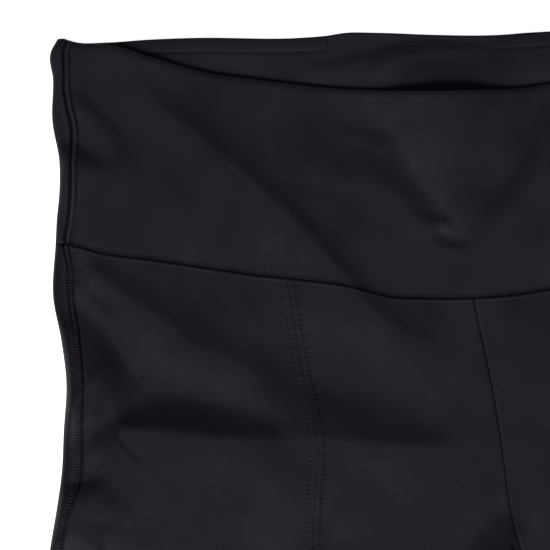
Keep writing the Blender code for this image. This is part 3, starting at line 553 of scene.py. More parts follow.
# Each seam as bells: height, distance from the seam and width
SEAMS = {
    "cover_side": ((-0.18, NEEDLE_ROW["side"], 0.45), (-0.12, 0, 0.3)),
    "cover_centre": ((-0.07, NEEDLE_ROW["centre"], 0.45), (-0.12, 0, 0.3)),
    "centre_front": ((-0.42, 0, 0.35), (0.08, 1.9, 1.2)),
    "leg_side": ((0.4, 1.25, 0.45), (-0.95, 2.25, 0.45)),
    "leg_side_near_waist": ((-0.4, 0, 0.4), (0.4, 1.25, 0.45), (-0.55, 2.25, 0.45)),
    "strip": ((-0.15, 0, 0.5),),
    "strip_near_waist": ((-0.8, 0, 0.5),),
    "band_side": ((-1.5, 0, 0.7), (0.75, 1.8, 0.8), (-0.32, 3.5, 0.7)),
    "leg_waist": ((-0.6, 0, 0.7), (0.08, 1.7, 0.6), (-0.06, 2.4, 0.35)),
    "back_waist": ((-0.8, 0, 0.8),),
}


def bells(rows, d):
    """The sum of some bells at distance d."""
    return sum(height * swell(d - place, width) for height, place, width in rows)


def cover_profile(d, panel):
    """A low band out to the needle row, a groove at the row and a narrow ditch at the seam."""
    outer, inner = (NEEDLE_ROW[panel] + part for part in COVER_BAND_EDGE)
    return COVER_BAND_HEIGHT * rising(d, outer, inner) + bells(SEAMS["cover_" + panel], d)


def side_profile(kind, d, y):
    """Below the waistband the side seam is a narrow overlocked ridge with a ditch inside it, and
    the strip of the back's cloth outside it is hardly rolled. Near the waist that strip rolls in
    too, which leaves a ditch on both sides. One set of bells gives way to the other."""
    near_waist = rising(y, *WAIST_SIDE_LEVELS)
    return bells(SEAMS[kind], d) * (1 - near_waist) + bells(SEAMS[kind + "_near_waist"], d) * near_waist


def lip(d, cloth):
    """How far each face of a free edge turns in, so that the edge is round: a quarter circle."""
    half = cloth / 2
    return half - np.sqrt(np.clip(half**2 - np.clip(half - d, 0, half) ** 2, 0, None))


# %% [markdown]
# A panel is a grid. Its rows follow the waist seam at the top and the hem at the bottom, and are
# straight between, and its columns run from seam to seam. Rows and columns crowd near the edges,
# where the seam profiles need them, and are about 1 mm apart in the part that shows most. A row's
# level depends on where its points are across, and the other way round, so a few rounds of
# substitution settle both.

# %% Rows and columns
NEAR_SEAM = np.array((0, 0.18, 0.4, 0.65, 0.95, 1.3, 1.7, 2.1, 2.5, 2.9, 3.3, 3.7, 4.2, 5.0, 6.2))
NEAR_WAIST = np.array((0, 0.18, 0.4, 0.65, 0.95, 1.3, 1.65, 2.0, 2.35, 2.7, 3.1, 3.8, 5.0))
NEAR_HEM = np.array((0, 0.15, 0.35, 0.6, 1.0, 2.0, 4.0))
HIP_STEP = 1.1
CROTCH_STEP = 3.0
LEG_STEP = 6.0
SETTLING_STEPS = 12
SEAM_GAP = 0.002
CURL_START = -152.0
CURL_END = -166.0


def evenly(start, end, step):
    """Points from start to end, at most a step apart, without start."""
    return np.linspace(start, end, int(np.ceil(abs(end - start) / step)) + 1)[1:]


HIP_END = WAIST_FADE_LEVEL - 15
CROTCH_END = CROTCH_LEVEL - 10
LEVELS = np.concatenate((
    -NEAR_WAIST,
    evenly(-NEAR_WAIST[-1], HIP_END, HIP_STEP),
    evenly(HIP_END, CROTCH_END, CROTCH_STEP),
    evenly(CROTCH_END, HEM_LEVEL + NEAR_HEM[-1], LEG_STEP),
    HEM_LEVEL + NEAR_HEM[-2::-1],
))[:, None]
CURL = rising(LEVELS, CURL_START, CURL_END)


# %% Columns, and rows that follow the seams
def columns(near_start, near_end, middle):
    """Shares and offsets of a panel's columns: set distances in from both seams, and even steps
    between. A column lies at start * (1 - share) + end * share + offset."""
    step = np.linspace(0, 1, middle + 2)[1:-1]
    share = np.concatenate((0 * near_start, step, 0 * near_end + 1))
    between = near_end[-1] * step - near_start[-1] * (1 - step)
    offset = np.concatenate((-near_start, between, near_end[::-1]))
    return share[None, :], offset[None, :]


def hem_curve(leg, x, level=HEM_LEVEL):
    """How far the hem's curve lies above its level at x: with q the share of the way out from the
    inseam, it rises outwards as q^3 and drops in the middle as 4 q (1 - q)."""
    inner = INNER_EDGE[leg](level)
    share = (SIDES[leg] * x - inner) / (OUTER_EDGE[leg](level) - inner)
    return HEM_RISE_OUTER * share**3 - 4 * HEM_DROP_MIDDLE * share * (1 - share)


def settled(level, leg, seam_line, across_of):
    """x and y of the grid's points, such that each row follows the seam line and the hem."""
    to_waist = np.clip(1 - level / WAIST_FADE_LEVEL, 0, 1)
    to_hem = rising(level, HEM_FADE_LEVEL, HEM_LEVEL)
    y = level + np.zeros_like(across_of(level))
    for _ in range(SETTLING_STEPS):
        x = SIDES[leg] * across_of(y)
        y = level + to_waist * seam_line(x) + to_hem * hem_curve(leg, x, level)
    return x, y


print(len(LEVELS), "rows down each leg panel")

# %% [markdown]
# Heights of the three kinds of front piece, as functions of place alone. The stitches use the same
# functions later, so they lie exactly on the cloth.

# %% Height of each front piece at any point
PUCKER_SHIFT = 2.0
CENTRE_PUCKERS = 0.6
WAIST_PUCKERS = 0.7


def side_panel_height(x, y, leg):
    """The outer front panel, with its side seam, leg seam and waist seam."""
    across = SIDES[leg] * x
    seam, inward = side_seam(leg, y) - across, across - LEG_SEAM[leg](y)
    z = front_height(x, y) + side_profile("leg_side", seam, y) + cover_profile(inward, "side")
    z = z + bells(SEAMS["leg_waist"], WAIST_SEAM(x) - y)
    return z + puckers(y, seam) + puckers(y + PUCKER_SHIFT, inward)


def centre_panel_height(x, y, leg):
    """The inner front panel above its inner fold, with its leg seam and centre front seam."""
    across = SIDES[leg] * x
    outward = LEG_SEAM[leg](y) - across
    middle = across - SIDES[leg] * CENTRE_FRONT(y)
    centre_seam = bells(SEAMS["centre_front"], middle) + CENTRE_PUCKERS * puckers(y, middle)
    z = front_height(x, y) + cover_profile(outward, "centre") + puckers(y + PUCKER_SHIFT, outward)
    z = z + bells(SEAMS["leg_waist"], WAIST_SEAM(x) - y)
    return z + centre_seam * rising(y, CURL_END, CURL_START)


def band_height(x, y):
    """The front waistband, with its two side seams and the waist seam."""
    z = front_height(x, y) + WAIST_PUCKERS * puckers(x, y - WAIST_SEAM(x))
    for leg, side in SIDES.items():
        seam = side_seam(leg, y) - side * x
        z = z + bells(SEAMS["band_side"], seam) + puckers(y, seam)
    return z


# %% [markdown]
# Where the needles went. A coverstitch pulls the cloth down at each hole, and the holes of one row
# read as a dotted line: the shade inside each hole is painted darker into the colour. Each stitch
# row is a distance that is zero on the row. The stitch counts come from real pitches: about 12
# stitches to the inch on the coverstitched seams, closer on the overlocked side seam. Where a row is
# sunk between folds of cloth, a little is added to that distance, and its holes read fainter. A
# third value, the shade, is painted shade and painted highlight in the colour: the seams' ditches
# and the side folds' rims are painted darker where shade falls, and raised beads are painted
# lighter where they catch the light.

# %% Rows of stitches on each piece
# Each piece's sewing: the rows down, the rows across, and the shade, which is painted shade and painted
# highlight.
Sewing = namedtuple("Sewing", "down across shade")
COVER_PITCH = 2.15
SIDE_PITCH = 1.33
WAIST_PITCH = 2.0
HEM_PITCH = 2.3
SIDE_ROW = 1.5
RUNG_STRETCH = 2.4
HOLE_SLANT = 0.12
WAIST_ROW = 1.8
WAIST_ROW_RISE = 0.4
WAIST_ROW_TURN = 10.0
UNEVEN_PULL = ((0.05, 1.3, 0.0), (0.06, 0.47, 1.0))
CENTRE_ROW_SHIFT = 3.0
FAINT = {"waist": 0.42, "side": 0.21}
# The legs' colour is scaled by this factor, so that they read a little darker than the waistband.
LEG_TONE = 0.86
HEM_ROWS = (14.0, 20.0)
FAR = 50.0

# Painted shade and painted highlight as bells: change, distance from the seam and width. Below
# zero is painted shade in a seam's ditch, and for tape_foot the painted shadow under the tape's
# lower edge; above zero is a painted highlight on a bead or on the rolled lip under the waist seam.
PAINTED_SHADES = {
    "leg_side": ((-0.35, 2.25, 0.5),),
    "leg_waist": ((-0.3, 0, 0.6), (0.2, 1.4, 0.5)),
    "centre_front": ((-0.15, 0, 0.4),),
    "band_waist": ((-0.8, 0.3, 0.9),),
    "band_side": ((-0.5, 0, 0.8), (0.15, 1.9, 0.7), (-0.35, 3.5, 0.8)),
    "band_bead": ((0.6, 1.9, 0.7),),
    "back_waist": ((-0.6, 0, 0.9),),
    "tape_foot": ((-0.6, -0.75, 0.7),),
}


def nearest_row(*rows):
    """Of several (distance, stitch count) pairs, the nearest one at each point, with its distance in
    millimetres."""
    distance, count = (np.stack(np.broadcast_arrays(*part)) for part in zip(*rows))
    distance = np.abs(distance)
    pick = distance.argmin(axis=0)[None]
    found = (np.take_along_axis(part, pick, axis=0)[0] for part in (distance, count))
    return np.stack(tuple(found), axis=-1)


# %% Sewing and shades of the front legs
def hem_pairs(x, y, leg):
    """The two rows of the hem, as distances and stitch counts."""
    above = y - HEM_LEVEL - hem_curve(leg, x)
    return [(above - row, x / HEM_PITCH) for row in HEM_ROWS]


def rows_across_leg(x, y, leg):
    """The line sewn through under the waistband, a little lower on the right than on the left, and
    the rows of the hem."""
    row = WAIST_ROW - WAIST_ROW_RISE * np.tanh(x / WAIST_ROW_TURN)
    below = np.abs(WAIST_SEAM(x) - y - row) + FAINT["waist"]
    return nearest_row((below, x / WAIST_PITCH), *hem_pairs(x, y, leg))


def uneven_pull(y):
    """Two slow waves that, added to the distance from a row, make some holes fainter."""
    return sum(height * (1 + np.sin(rate * y + start)) for height, rate, start in UNEVEN_PULL)


def side_panel_sewing(x, y, leg):
    """The outer front panel: the overlocked side seam, the outer cover row and what runs across."""
    across = SIDES[leg] * x
    seam, inward = side_seam(leg, y) - across, across - LEG_SEAM[leg](y)
    rungs = np.abs(seam - SIDE_ROW) / RUNG_STRETCH + FAINT["side"]
    cover = np.abs(inward - NEEDLE_ROW["side"]) + uneven_pull(y)
    down = nearest_row((rungs, y / SIDE_PITCH + HOLE_SLANT * seam), (cover, y / COVER_PITCH))
    # Painted shade in the side seam's ditch and the waist seam's ditch, and a painted highlight on the rolled
    # lip under the waist seam.
    shade = LEG_TONE + bells(PAINTED_SHADES["leg_side"], seam) + bells(PAINTED_SHADES["leg_waist"], WAIST_SEAM(x) - y)
    return Sewing(down, rows_across_leg(x, y, leg), shade)


def centre_panel_sewing(x, y, leg):
    """The inner front panel: the inner cover row, the centre front and what runs across."""
    across = SIDES[leg] * x
    cover = np.abs(LEG_SEAM[leg](y) - across - NEEDLE_ROW["centre"]) + uneven_pull(y + CENTRE_ROW_SHIFT)
    middle = across - SIDES[leg] * CENTRE_FRONT(y)
    # Painted shade in the waist seam's ditch and, above the crotch, the centre front's ditch, and a painted
    # highlight on the rolled lip under the waist seam.
    shade = LEG_TONE + bells(PAINTED_SHADES["leg_waist"], WAIST_SEAM(x) - y)
    shade = shade + bells(PAINTED_SHADES["centre_front"], middle) * (y > CURL_END)
    return Sewing(nearest_row((cover, y / COVER_PITCH)), rows_across_leg(x, y, leg), shade)


# %% Sewing and shades of the waistband and the back
# Painted shade on the side folds' rims, a painted highlight on the band's beads, painted shade deep in the
# mouth's right corner, and the ends where the tape's painted shadow fades in.
RIM_START = 1.6
RIM_PAINTED_SHADE = {"leg": 0.85, "band": 0.25}
RIM_LEVELS = (20.0, 35.0)
BEAD_LEVELS = (96.0, 84.0)
MOUTH_CORNER = (-120.0, -156.0)
MOUTH_CORNER_SHADE = -0.5
MOUTH_CORNER_DEPTH = 4.0
TAPE_FADE = (-2.0, 1.0)


def plain_sewing(x, y):
    """No rows of stitches."""
    nowhere = stack(x, y, 0)[..., :2] * 0 + FAR
    return Sewing(nowhere, nowhere, 1 + 0 * nowhere[..., 0])


def band_sewing(x, y):
    """The front waistband: no rows show. The bead beside each side seam gets a painted highlight,
    and the side seams' ditches and the lower edge, where it rolls into the waist seam, get painted
    shade."""
    shade = 1 + bells(PAINTED_SHADES["band_waist"], y - WAIST_SEAM(x))
    for leg, side in SIDES.items():
        seam = side_seam(leg, y) - side * x
        bead = rising(y, *BEAD_LEVELS) * bells(PAINTED_SHADES["band_bead"], seam)
        shade = shade + bells(PAINTED_SHADES["band_side"], seam) + bead
    return plain_sewing(x, y)._replace(shade=shade)


def rim_shade(x, y):
    """How much painted shade the cloth round a side fold gets, by the share q of the way round its
    upper quarter: q (2 - q), less on the waistband."""
    reach = RIM_START * SIDE_FOLD_RADIUS(y)
    past = [(side * x - OUTER_EDGE[leg](y)) / reach + 1 for leg, side in SIDES.items()]
    share = np.clip(np.maximum(*past), 0, 1)
    in_band = rising(y, *RIM_LEVELS)
    return (RIM_PAINTED_SHADE["leg"] * (1 - in_band) + RIM_PAINTED_SHADE["band"] * in_band) * share * (2 - share)


def back_shade(x, y):
    """The back's painted shade, in two parts: the change in the waist seam's ditch, and the factor
    that paints shade on the rims of the side folds."""
    return bells(PAINTED_SHADES["back_waist"], y - BACK_WAIST_SEAM(x)), 1 - rim_shade(x, y)


def back_leg_sewing(x, y, leg):
    """The back of the leg: the rows of the hem, and the painted shade in the waist seam's ditch and
    on the side fold's rim.
    """
    ditch, rim = back_shade(x, y)
    rows = nearest_row(*hem_pairs(x, y, leg))
    return plain_sewing(x, y)._replace(across=rows, shade=(LEG_TONE + ditch) * rim)


def band_back_sewing(x, y):
    """The back waistband: no rows; painted shade in the waist seam's ditch and on the folds' rims,
    a painted shadow along the tape's lower edge, and painted shade deep in the mouth's right corner."""
    ditch, rim = back_shade(x, y)
    shade = (1 + ditch) * rim
    tape_foot = BACK_TOP(x) - TAPE_BELOW_TOP - TAPE_WIDTH
    # A painted shadow along each tape's lower edge.
    for start, end in TAPE_ENDS.values():
        on_tape = rising(x - start, *TAPE_FADE) * rising(end - x, *TAPE_FADE)
        shade = shade + on_tape * bells(PAINTED_SHADES["tape_foot"], y - tape_foot)
    # Painted shade deep in the mouth's right corner, behind the front's edge.
    corner = MOUTH_CORNER_SHADE * rising(x, *MOUTH_CORNER) * (y > FRONT_TOP(x) - MOUTH_CORNER_DEPTH)
    return plain_sewing(x, y)._replace(shade=shade + corner)


# %% [markdown]
# The mesh of a wall: the outside grid, the inside grid and the rim between them, in one closed
# surface. It carries three UV maps. The first is in metres measured along the cloth, so that the
# knit keeps its real size over every fold. The other two tell the material where the needles went,
# so that it paints shade into the holes: the distance from the nearest row of stitches, and the
# number of stitches along it, once for the rows down the garment and once for those across it. The
# shade, painted shade and painted highlight, goes with them as an attribute.

# %% Walls
def wall_faces(rows, columns_across):
    """Quads of the outside grid, the inside grid turned over, and the rim."""
    outside = np.arange(rows * columns_across).reshape(rows, columns_across)
    inside = outside + rows * columns_across
    faces = []
    for grid, turned in ((outside, False), (inside, True)):
        corners = (grid[:-1, :-1], grid[1:, :-1], grid[1:, 1:], grid[:-1, 1:])
        quads = np.stack(corners, axis=-1).reshape(-1, 4)
        faces.append(quads[:, ::-1] if turned else quads)
    ring = np.concatenate((outside[0, :-1], outside[:-1, -1], outside[-1, :0:-1], outside[:0:-1, 0]))
    after = np.roll(ring, -1)
    shift = rows * columns_across
    faces.append(np.stack((ring, after, after + shift, ring + shift), axis=-1))
    return np.concatenate(faces)


def cloth_uv(grid):
    """Length along the rows and down the columns, in metres, for each point of a grid."""
    across = np.linalg.norm(np.diff(grid, axis=1, prepend=grid[:, :1]), axis=2).cumsum(axis=1)
    return np.stack((across, grid[..., 1]), axis=-1) * MM


# %% From grids to objects
def mesh_object(name, points, faces, maps, material, shade=None):
    """An object at the frame's origin from points in millimetres round the zero point. Faces that
    would point in are turned, by the sign of the volume they enclose. Each map has two values for
    every point."""
    a, b, c = (points[faces[:, k]] for k in range(3))
    d = points[faces[:, -1]]
    volume = (np.cross(a, b) * c).sum() + (np.cross(a, c) * d).sum()
    if volume < 0:
        faces = faces[:, ::-1]
    mesh = bpy.data.meshes.new(name)
    mesh.from_pydata(((points + ZERO) * MM).tolist(), [], faces.tolist())
    for map_name, values in maps.items():
        layer = mesh.uv_layers.new(name=map_name)
        layer.uv.foreach_set("vector", values[faces.ravel()].astype(np.float32).ravel())
    if shade is not None:
        mesh.attributes.new("shade", "FLOAT", "POINT").data.foreach_set("value", shade.astype(np.float32))
    mesh.shade_smooth()
    mesh.materials.append(material)
    made = bpy.data.objects.new(name, mesh)
    bpy.context.scene.collection.objects.link(made)
    print(name, len(faces), "faces")
    return made


def both_sides(values):
    """The same values for the outside and the inside points, one row to each point."""
    return np.tile(values.reshape(-1, values.shape[-1]), (2, 1))


def wall_object(name, wall, sewing, material):
    """A cloth wall as an object, from its outside and inside grids and, at each of the outside's
    points, the rows of stitches and the painted shade there."""
    outside, inside = wall
    points = np.concatenate((outside.reshape(-1, 3), inside.reshape(-1, 3)))
    maps = {"cloth": cloth_uv(outside), "rows_down": sewing.down, "rows_across": sewing.across}
    maps = {map_name: both_sides(values) for map_name, values in maps.items()}
    shade = both_sides(sewing.shade[..., None])[:, 0]
    return mesh_object(name, points, wall_faces(*outside.shape[:2]), maps, material, shade)


def wall_of(x, y, z, cloth, free_edge):
    """Both faces of a panel: the outside at z, the inside one cloth below, and both turned in
    towards each other near a free edge, whose distance is given."""
    turn = lip(free_edge, cloth)
    return stack(x, y, z - turn), stack(x, y, z - cloth + turn)


# %% [markdown]
# The front panels. Each runs from one seam to the next. Below the crotch the inner one curls down
# at the leg's inner fold to meet the back, as cloth does round a fold: the last columns follow a
# quarter circle there.

# %% Front panels
COLUMN_COUNTS = {"side": {"right": 94, "left": 44}, "centre": {"right": 64, "left": 44}}
PANEL_COLUMNS = {
    panel: {leg: columns(NEAR_SEAM, NEAR_SEAM, count) for leg, count in counts.items()}
    for panel, counts in COLUMN_COUNTS.items()
}
CURL_STEPS = np.linspace(0, 1, 7)[1:][None, :]
FOLD_END_ANGLE = math.radians(86)
INNER_SETTLE = 16.0
LEG_CLOTH = 1.0


def front_side(leg):
    """The outer front panel: side seam to leg seam."""
    share, offset = PANEL_COLUMNS["side"][leg]

    def across_of(y):
        start = side_seam(leg, y) - SEAM_GAP / 2
        return start * (1 - share) + (LEG_SEAM[leg](y) + SEAM_GAP / 2) * share + offset

    x, y = settled(LEVELS, leg, WAIST_SEAM, across_of)
    return wall_of(x, y, side_panel_height(x, y, leg), LEG_CLOTH, LEVELS - HEM_LEVEL)


# %% The inner front panel and its fold
def inner_end(leg, y, centre_line):
    """How far across a panel's inner end lies: at the centre seam, or below the crotch at the edge
    of the inner fold, with half the seam's gap left free."""
    seam, fold = SIDES[leg] * centre_line(y), INNER_EDGE[leg](y)
    return seam * (1 - CURL) + fold * CURL + SEAM_GAP / 2


def to_inner_end(leg, y, centre_line, start, share, turned):
    """Columns from a start to the inner end. The last ones, turned from 0 to 1, run on flat above
    the crotch, and below it follow a quarter circle round the inner fold."""
    end = inner_end(leg, y, centre_line) + INNER_FOLD_RADIUS
    past = turned * (1 - CURL) + np.sin(turned * FOLD_END_ANGLE) * CURL
    return start * (1 - share) + end * share - INNER_FOLD_RADIUS * past


def front_centre(leg):
    """The inner front panel: leg seam to centre front seam and, below the crotch, round the
    quarter circle of the inner fold to the inseam."""
    radius = INNER_FOLD_RADIUS
    flat_columns = PANEL_COLUMNS["centre"][leg]
    share, offset = (np.pad(part, ((0, 0), (0, CURL_STEPS.size)), mode="edge") for part in flat_columns)
    turned = np.pad(CURL_STEPS, ((0, 0), (flat_columns[0].size, 0)))
    angle = turned * FOLD_END_ANGLE

    def across_of(y):
        start = LEG_SEAM[leg](y) - SEAM_GAP / 2
        return to_inner_end(leg, y, CENTRE_FRONT, start, share, turned) + offset

    x, y = settled(LEVELS, leg, WAIST_SEAM, across_of)
    z = centre_panel_height(x, y, leg)
    from_fold = SIDES[leg] * x - inner_end(leg, y, CENTRE_FRONT) - radius
    near = CURL * rising(from_fold, INNER_SETTLE, 0)
    z = z * (1 - near) + 2 * radius * near - CURL * radius * (1 - np.cos(angle))
    outside, inside = wall_of(x, y, z, LEG_CLOTH, LEVELS - HEM_LEVEL)
    inside[..., 0] += SIDES[leg] * CURL * LEG_CLOTH * np.sin(angle)
    inside[..., 2] += CURL * LEG_CLOTH * (1 - np.cos(angle))
    return outside, inside


# %% [markdown]
# The back panels lie flat on the table, with nothing to shape them, turn up round the side fold in
# a half circle, and come over the front as a narrow strip as far as the side seam. At the inner
# fold they curl up to meet the front.

# %% Back panels
STRIP_SHARES = np.array((0, 0.05, 0.12, 0.22, 0.35, 0.5, 0.7, 1.0))
WRAP_ANGLES = np.radians(np.linspace(0, 180, 15))[1:]
FLOOR_SHARES = np.linspace(0, 1, 23)[1:]


def wrapped_edge(leg, y, cloth):
    """Across and height, outside and inside, of the cloth round a side fold: the strip on the
    front, then the half circle down to the table. The front's folds run on over the strip and die
    away round the first quarter of the circle."""
    radius, edge = SIDE_FOLD_RADIUS(y), OUTER_EDGE[leg](y)
    strips, wraps = len(STRIP_SHARES), len(WRAP_ANGLES)
    angle = np.concatenate((np.zeros(strips), WRAP_ANGLES))[None, :]
    share = np.concatenate((STRIP_SHARES, np.ones(wraps)))[None, :]
    seam = np.minimum(side_seam(leg, y) + SEAM_GAP / 2, edge - radius - SEAM_GAP)
    on_strip = seam * (1 - share) + (edge - radius) * share
    rolled = side_profile("strip", on_strip - seam, y) * (angle == 0)
    x = SIDES[leg] * on_strip
    folds = fold_height(x, y, FRONT_FOLDS) + hill_height(x, y)
    folds = folds + bells(SEAMS["back_waist"], y - BACK_WAIST_SEAM(x))
    rolled = rolled + folds * np.clip(1 - angle / (math.pi / 2), 0, 1)
    outside = (on_strip + radius * np.sin(angle), radius + radius * np.cos(angle) + rolled)
    bend = radius - cloth
    return outside, (on_strip + bend * np.sin(angle), radius + bend * np.cos(angle) + rolled)


# %% The back of the leg
def back_leg(leg):
    """The back panel: side seam, side fold, table, centre back seam and inseam."""
    side = SIDES[leg]
    wraps = len(STRIP_SHARES) + len(WRAP_ANGLES)
    share = np.concatenate((FLOOR_SHARES, np.ones(CURL_STEPS.size)))[None, :]
    turned = np.concatenate((0 * FLOOR_SHARES, CURL_STEPS[0]))[None, :]
    angle = turned * FOLD_END_ANGLE

    def across_of(y):
        if y.shape[1] == 1:
            y = np.repeat(y, wraps + share.size, axis=1)
        wrap = wrapped_edge(leg, y[:, :wraps], LEG_CLOTH)[0][0]
        y = y[:, wraps:]
        start = OUTER_EDGE[leg](y) - SIDE_FOLD_RADIUS(y)
        on_table = to_inner_end(leg, y, CENTRE_BACK, start, share, turned)
        return np.concatenate((wrap, on_table), axis=1)

    x, y = settled(LEVELS, leg, BACK_WAIST_SEAM, across_of)
    (_, wrap_z), (inner_across, inner_z) = wrapped_edge(leg, y[:, :wraps], LEG_CLOTH)
    rise = CURL * INNER_FOLD_RADIUS * (1 - np.cos(angle))
    turn = lip(LEVELS - HEM_LEVEL, LEG_CLOTH)
    outside = stack(x, y, np.concatenate((wrap_z, rise + turn), axis=1))
    table_across = side * x[:, wraps:] + CURL * LEG_CLOTH * np.sin(angle)
    up = rise + LEG_CLOTH * (1 - CURL * (1 - np.cos(angle))) - turn
    inner_x = side * np.concatenate((inner_across, table_across), axis=1)
    return outside, stack(inner_x, y, np.concatenate((inner_z, up), axis=1))


# %% [markdown]
# The waistband is the same cloth laid double, so it is thicker, with a round folded top edge. Its
# front dips in the middle, which shows the inside of the back band. The front's edge is pressed
# thin, and the soft inner layer of the back comes up to meet it, with folds of its own.

# %% Waistband
BAND_CLOTH = 1.7
BAND_NEAR = NEAR_WAIST[NEAR_WAIST < 4]
TOP_NEAR = np.array((0, 0.1, 0.25, 0.45, 0.7, 1.0, 1.5, 2.4))
BAND_ROWS = 66
FRONT_COLUMNS = 240
BACK_MIDDLE = np.linspace(0, 1, 160)[None, 1:-1]
MID_BAND = 60.0
BACK_FOLDS = (
    Fold(0.45, 0.35, 12, 5, 8, ((-74, 107), (-62, 108), (-50, 109.5), (-40, 111.5), (-30, 114), (-20, 116))),
    Fold((0.9, 0.8, 0.2), 0.2, 5, 6, 8,
         ((-42, 99), (-39.5, 103), (-36, 107.5), (-30, 111), (-20, 113.5), (0, 113), (20, 112))),
    Fold(0.3, 0.1, 8, 8, 8, ((60, 110), (90, 112), (120, 116))),
)
BACK_FOLDS_REACH = 3.0
EDGE_THINNING = 0.6
EDGE_REACH = 2.5
INSIDE_GAP = 0.15
INSIDE_MOST = 3.0
INSIDE_RISE_LENGTH = 6.0
INSIDE_FALL_LENGTH = 20.0


# %% The inside of the waistband
def room_behind(x, y):
    """How far the back band's inner layer can rise before it meets the front band."""
    return np.clip(front_height(x, y) - 2 * BAND_CLOTH - INSIDE_GAP, 0, None)


def inside_lift(x, y):
    """How far the inner layer of the back band stands off the outer one. It reaches for the front's
    free edge from below, comes up to it behind the front, and goes down gently to the top, with its
    own soft folds. Behind the front it keeps clear of it."""
    x, y = np.broadcast_arrays(x, y)
    above = y - FRONT_TOP(x)
    reach = INSIDE_MOST * np.tanh(room_behind(x, FRONT_TOP(x)) / INSIDE_MOST)
    to_top = rising(BACK_TOP(x) - y, 0, INSIDE_FALL_LENGTH)
    lift = reach * rising(above, -INSIDE_RISE_LENGTH, 0) * to_top
    lift = lift + rising(above, 0, BACK_FOLDS_REACH) * fold_height(x, y, BACK_FOLDS)
    return np.where(above < 0, np.minimum(lift, room_behind(x, y)), np.clip(lift, 0, None))


# %% Both pieces of the waistband
def band_levels(x, low_line, top_line):
    """Levels of a band's rows at x: set distances from the seam and the top, even between."""
    low, top = low_line(x) + SEAM_GAP, top_line(x)
    share, offset = columns(BAND_NEAR, TOP_NEAR, BAND_ROWS)
    return low * (1 - share.T) + top * share.T - offset.T


def band_front():
    """The front waistband, from side seam to side seam."""
    share, offset = columns(NEAR_SEAM, NEAR_SEAM, FRONT_COLUMNS)
    y = np.full((1, share.size), MID_BAND)
    for _ in range(SETTLING_STEPS):
        start = band_end("right", y) + SEAM_GAP / 2
        end = band_end("left", y) - SEAM_GAP / 2
        x = start * (1 - share) + end * share - offset
        y = band_levels(x, WAIST_SEAM, FRONT_TOP)
    free = FRONT_TOP(x) - y
    thinner = EDGE_THINNING * rising(free, EDGE_REACH, 0)
    return wall_of(x, y, band_height(x, y) - thinner, BAND_CLOTH - thinner, free)


def band_back():
    """The back waistband: round both side folds and flat on the table between."""
    strips = len(STRIP_SHARES) + len(WRAP_ANGLES)

    def both_faces(y):
        right = wrapped_edge("right", y[:, :strips], BAND_CLOTH)
        left = wrapped_edge("left", y[:, :-strips - 1:-1], BAND_CLOTH)
        inner_y = y[:, strips:-strips]
        end_right, end_left = (OUTER_EDGE[leg](inner_y) - SIDE_FOLD_RADIUS(inner_y) for leg in SIDES)
        across = end_left * BACK_MIDDLE - end_right * (1 - BACK_MIDDLE)
        for (right_across, right_z), (left_across, left_z), table_z in zip(right, left, (0.0, BAND_CLOTH)):
            x = np.concatenate((-right_across, across, left_across[:, ::-1]), axis=1)
            yield x, np.concatenate((right_z, table_z + 0 * across, left_z[:, ::-1]), axis=1)

    y = np.full((1, 2 * strips + BACK_MIDDLE.size), MID_BAND)
    for _ in range(SETTLING_STEPS):
        x = next(both_faces(y))[0]
        y = band_levels(x, BACK_WAIST_SEAM, BACK_TOP)
    (x, z), (inner_x, inner_z) = both_faces(y)
    turn = lip(BACK_TOP(x) - y, BAND_CLOTH)
    on_table = np.zeros(x.shape)
    on_table[:, strips:-strips] = 1
    parted = on_table * inside_lift(x, y)
    turn_up = np.where(z > SIDE_FOLD_RADIUS(y), -1, 1) * turn
    return stack(x, y, z + turn_up), stack(inner_x, y, inner_z - turn_up + parted)


# %% [markdown]
# The finish. The cloth is a warp-knitted nylon and elastane jersey, dyed near black and brushed so
# finely that it looks matt, with a little sheen where it tilts to the light. Near black has to be
# truly dark, about one part in a hundred, so most of what shows is that sheen: the specular level is
# low, because the fibres scatter what a smooth surface would throw back. The knit's own loops are
# half a millimetre apart, too fine for the picture, so they are drawn about twice as coarse and
# faint under the fuzz.

# %% Colours and nodes
def srgb(code):
    """A hex colour as linear red, green, blue and alpha."""
    value = np.array([int(code[k:k + 2], 16) / 255 for k in (1, 3, 5)])
    linear = np.where(value <= 0.04045, value / 12.92, ((value + 0.055) / 1.055) ** 2.4)
    return (*linear.tolist(), 1.0)


def add_node(tree, kind, inputs, output=0, **settings):
    """Adds a node with its settings and links, and gives the output asked for. Each input takes
    another node's output or a value of its own."""
    node = tree.nodes.new("ShaderNode" + kind)
    for name, value in settings.items():
        setattr(node, name, value)
    for name, value in inputs.items():
        if isinstance(value, bpy.types.NodeSocket):
            tree.links.new(value, node.inputs[name])
        else:
            node.inputs[name].default_value = value
    return node.outputs[output]


def new_material(name, roughness, specular):
    """A Principled material with its steady values set, and its node tree and shader."""
    material = bpy.data.materials.new(name)
    material.use_nodes = True
    shader = material.node_tree.nodes["Principled BSDF"]
    shader.inputs["Roughness"].default_value = roughness
    shader.inputs["Specular IOR Level"].default_value = specular
    return material, material.node_tree, shader


# %% The knit with its needle holes
# Needle holes: the colour inside each is painted darker, as the shade in a hole, and a bump dents it.
HOLE_RADIUS = (0.25, 0.62)
HOLE_SPACING = 2.0
HOLE_PAINTED_SHADE = 0.85
HOLE_DEPTH = 0.2
LOOP_PITCH = 0.9
LOOP_TURNS = (62, -62)
LOOP_SHARE = 0.3
FUZZ_PITCH = 0.8
CLOUD_SIZE = 28.0
KNIT_RELIEF = 0.12
KNIT_BUMP = 0.35
KNIT_STOPS = (0.1, 0.5)


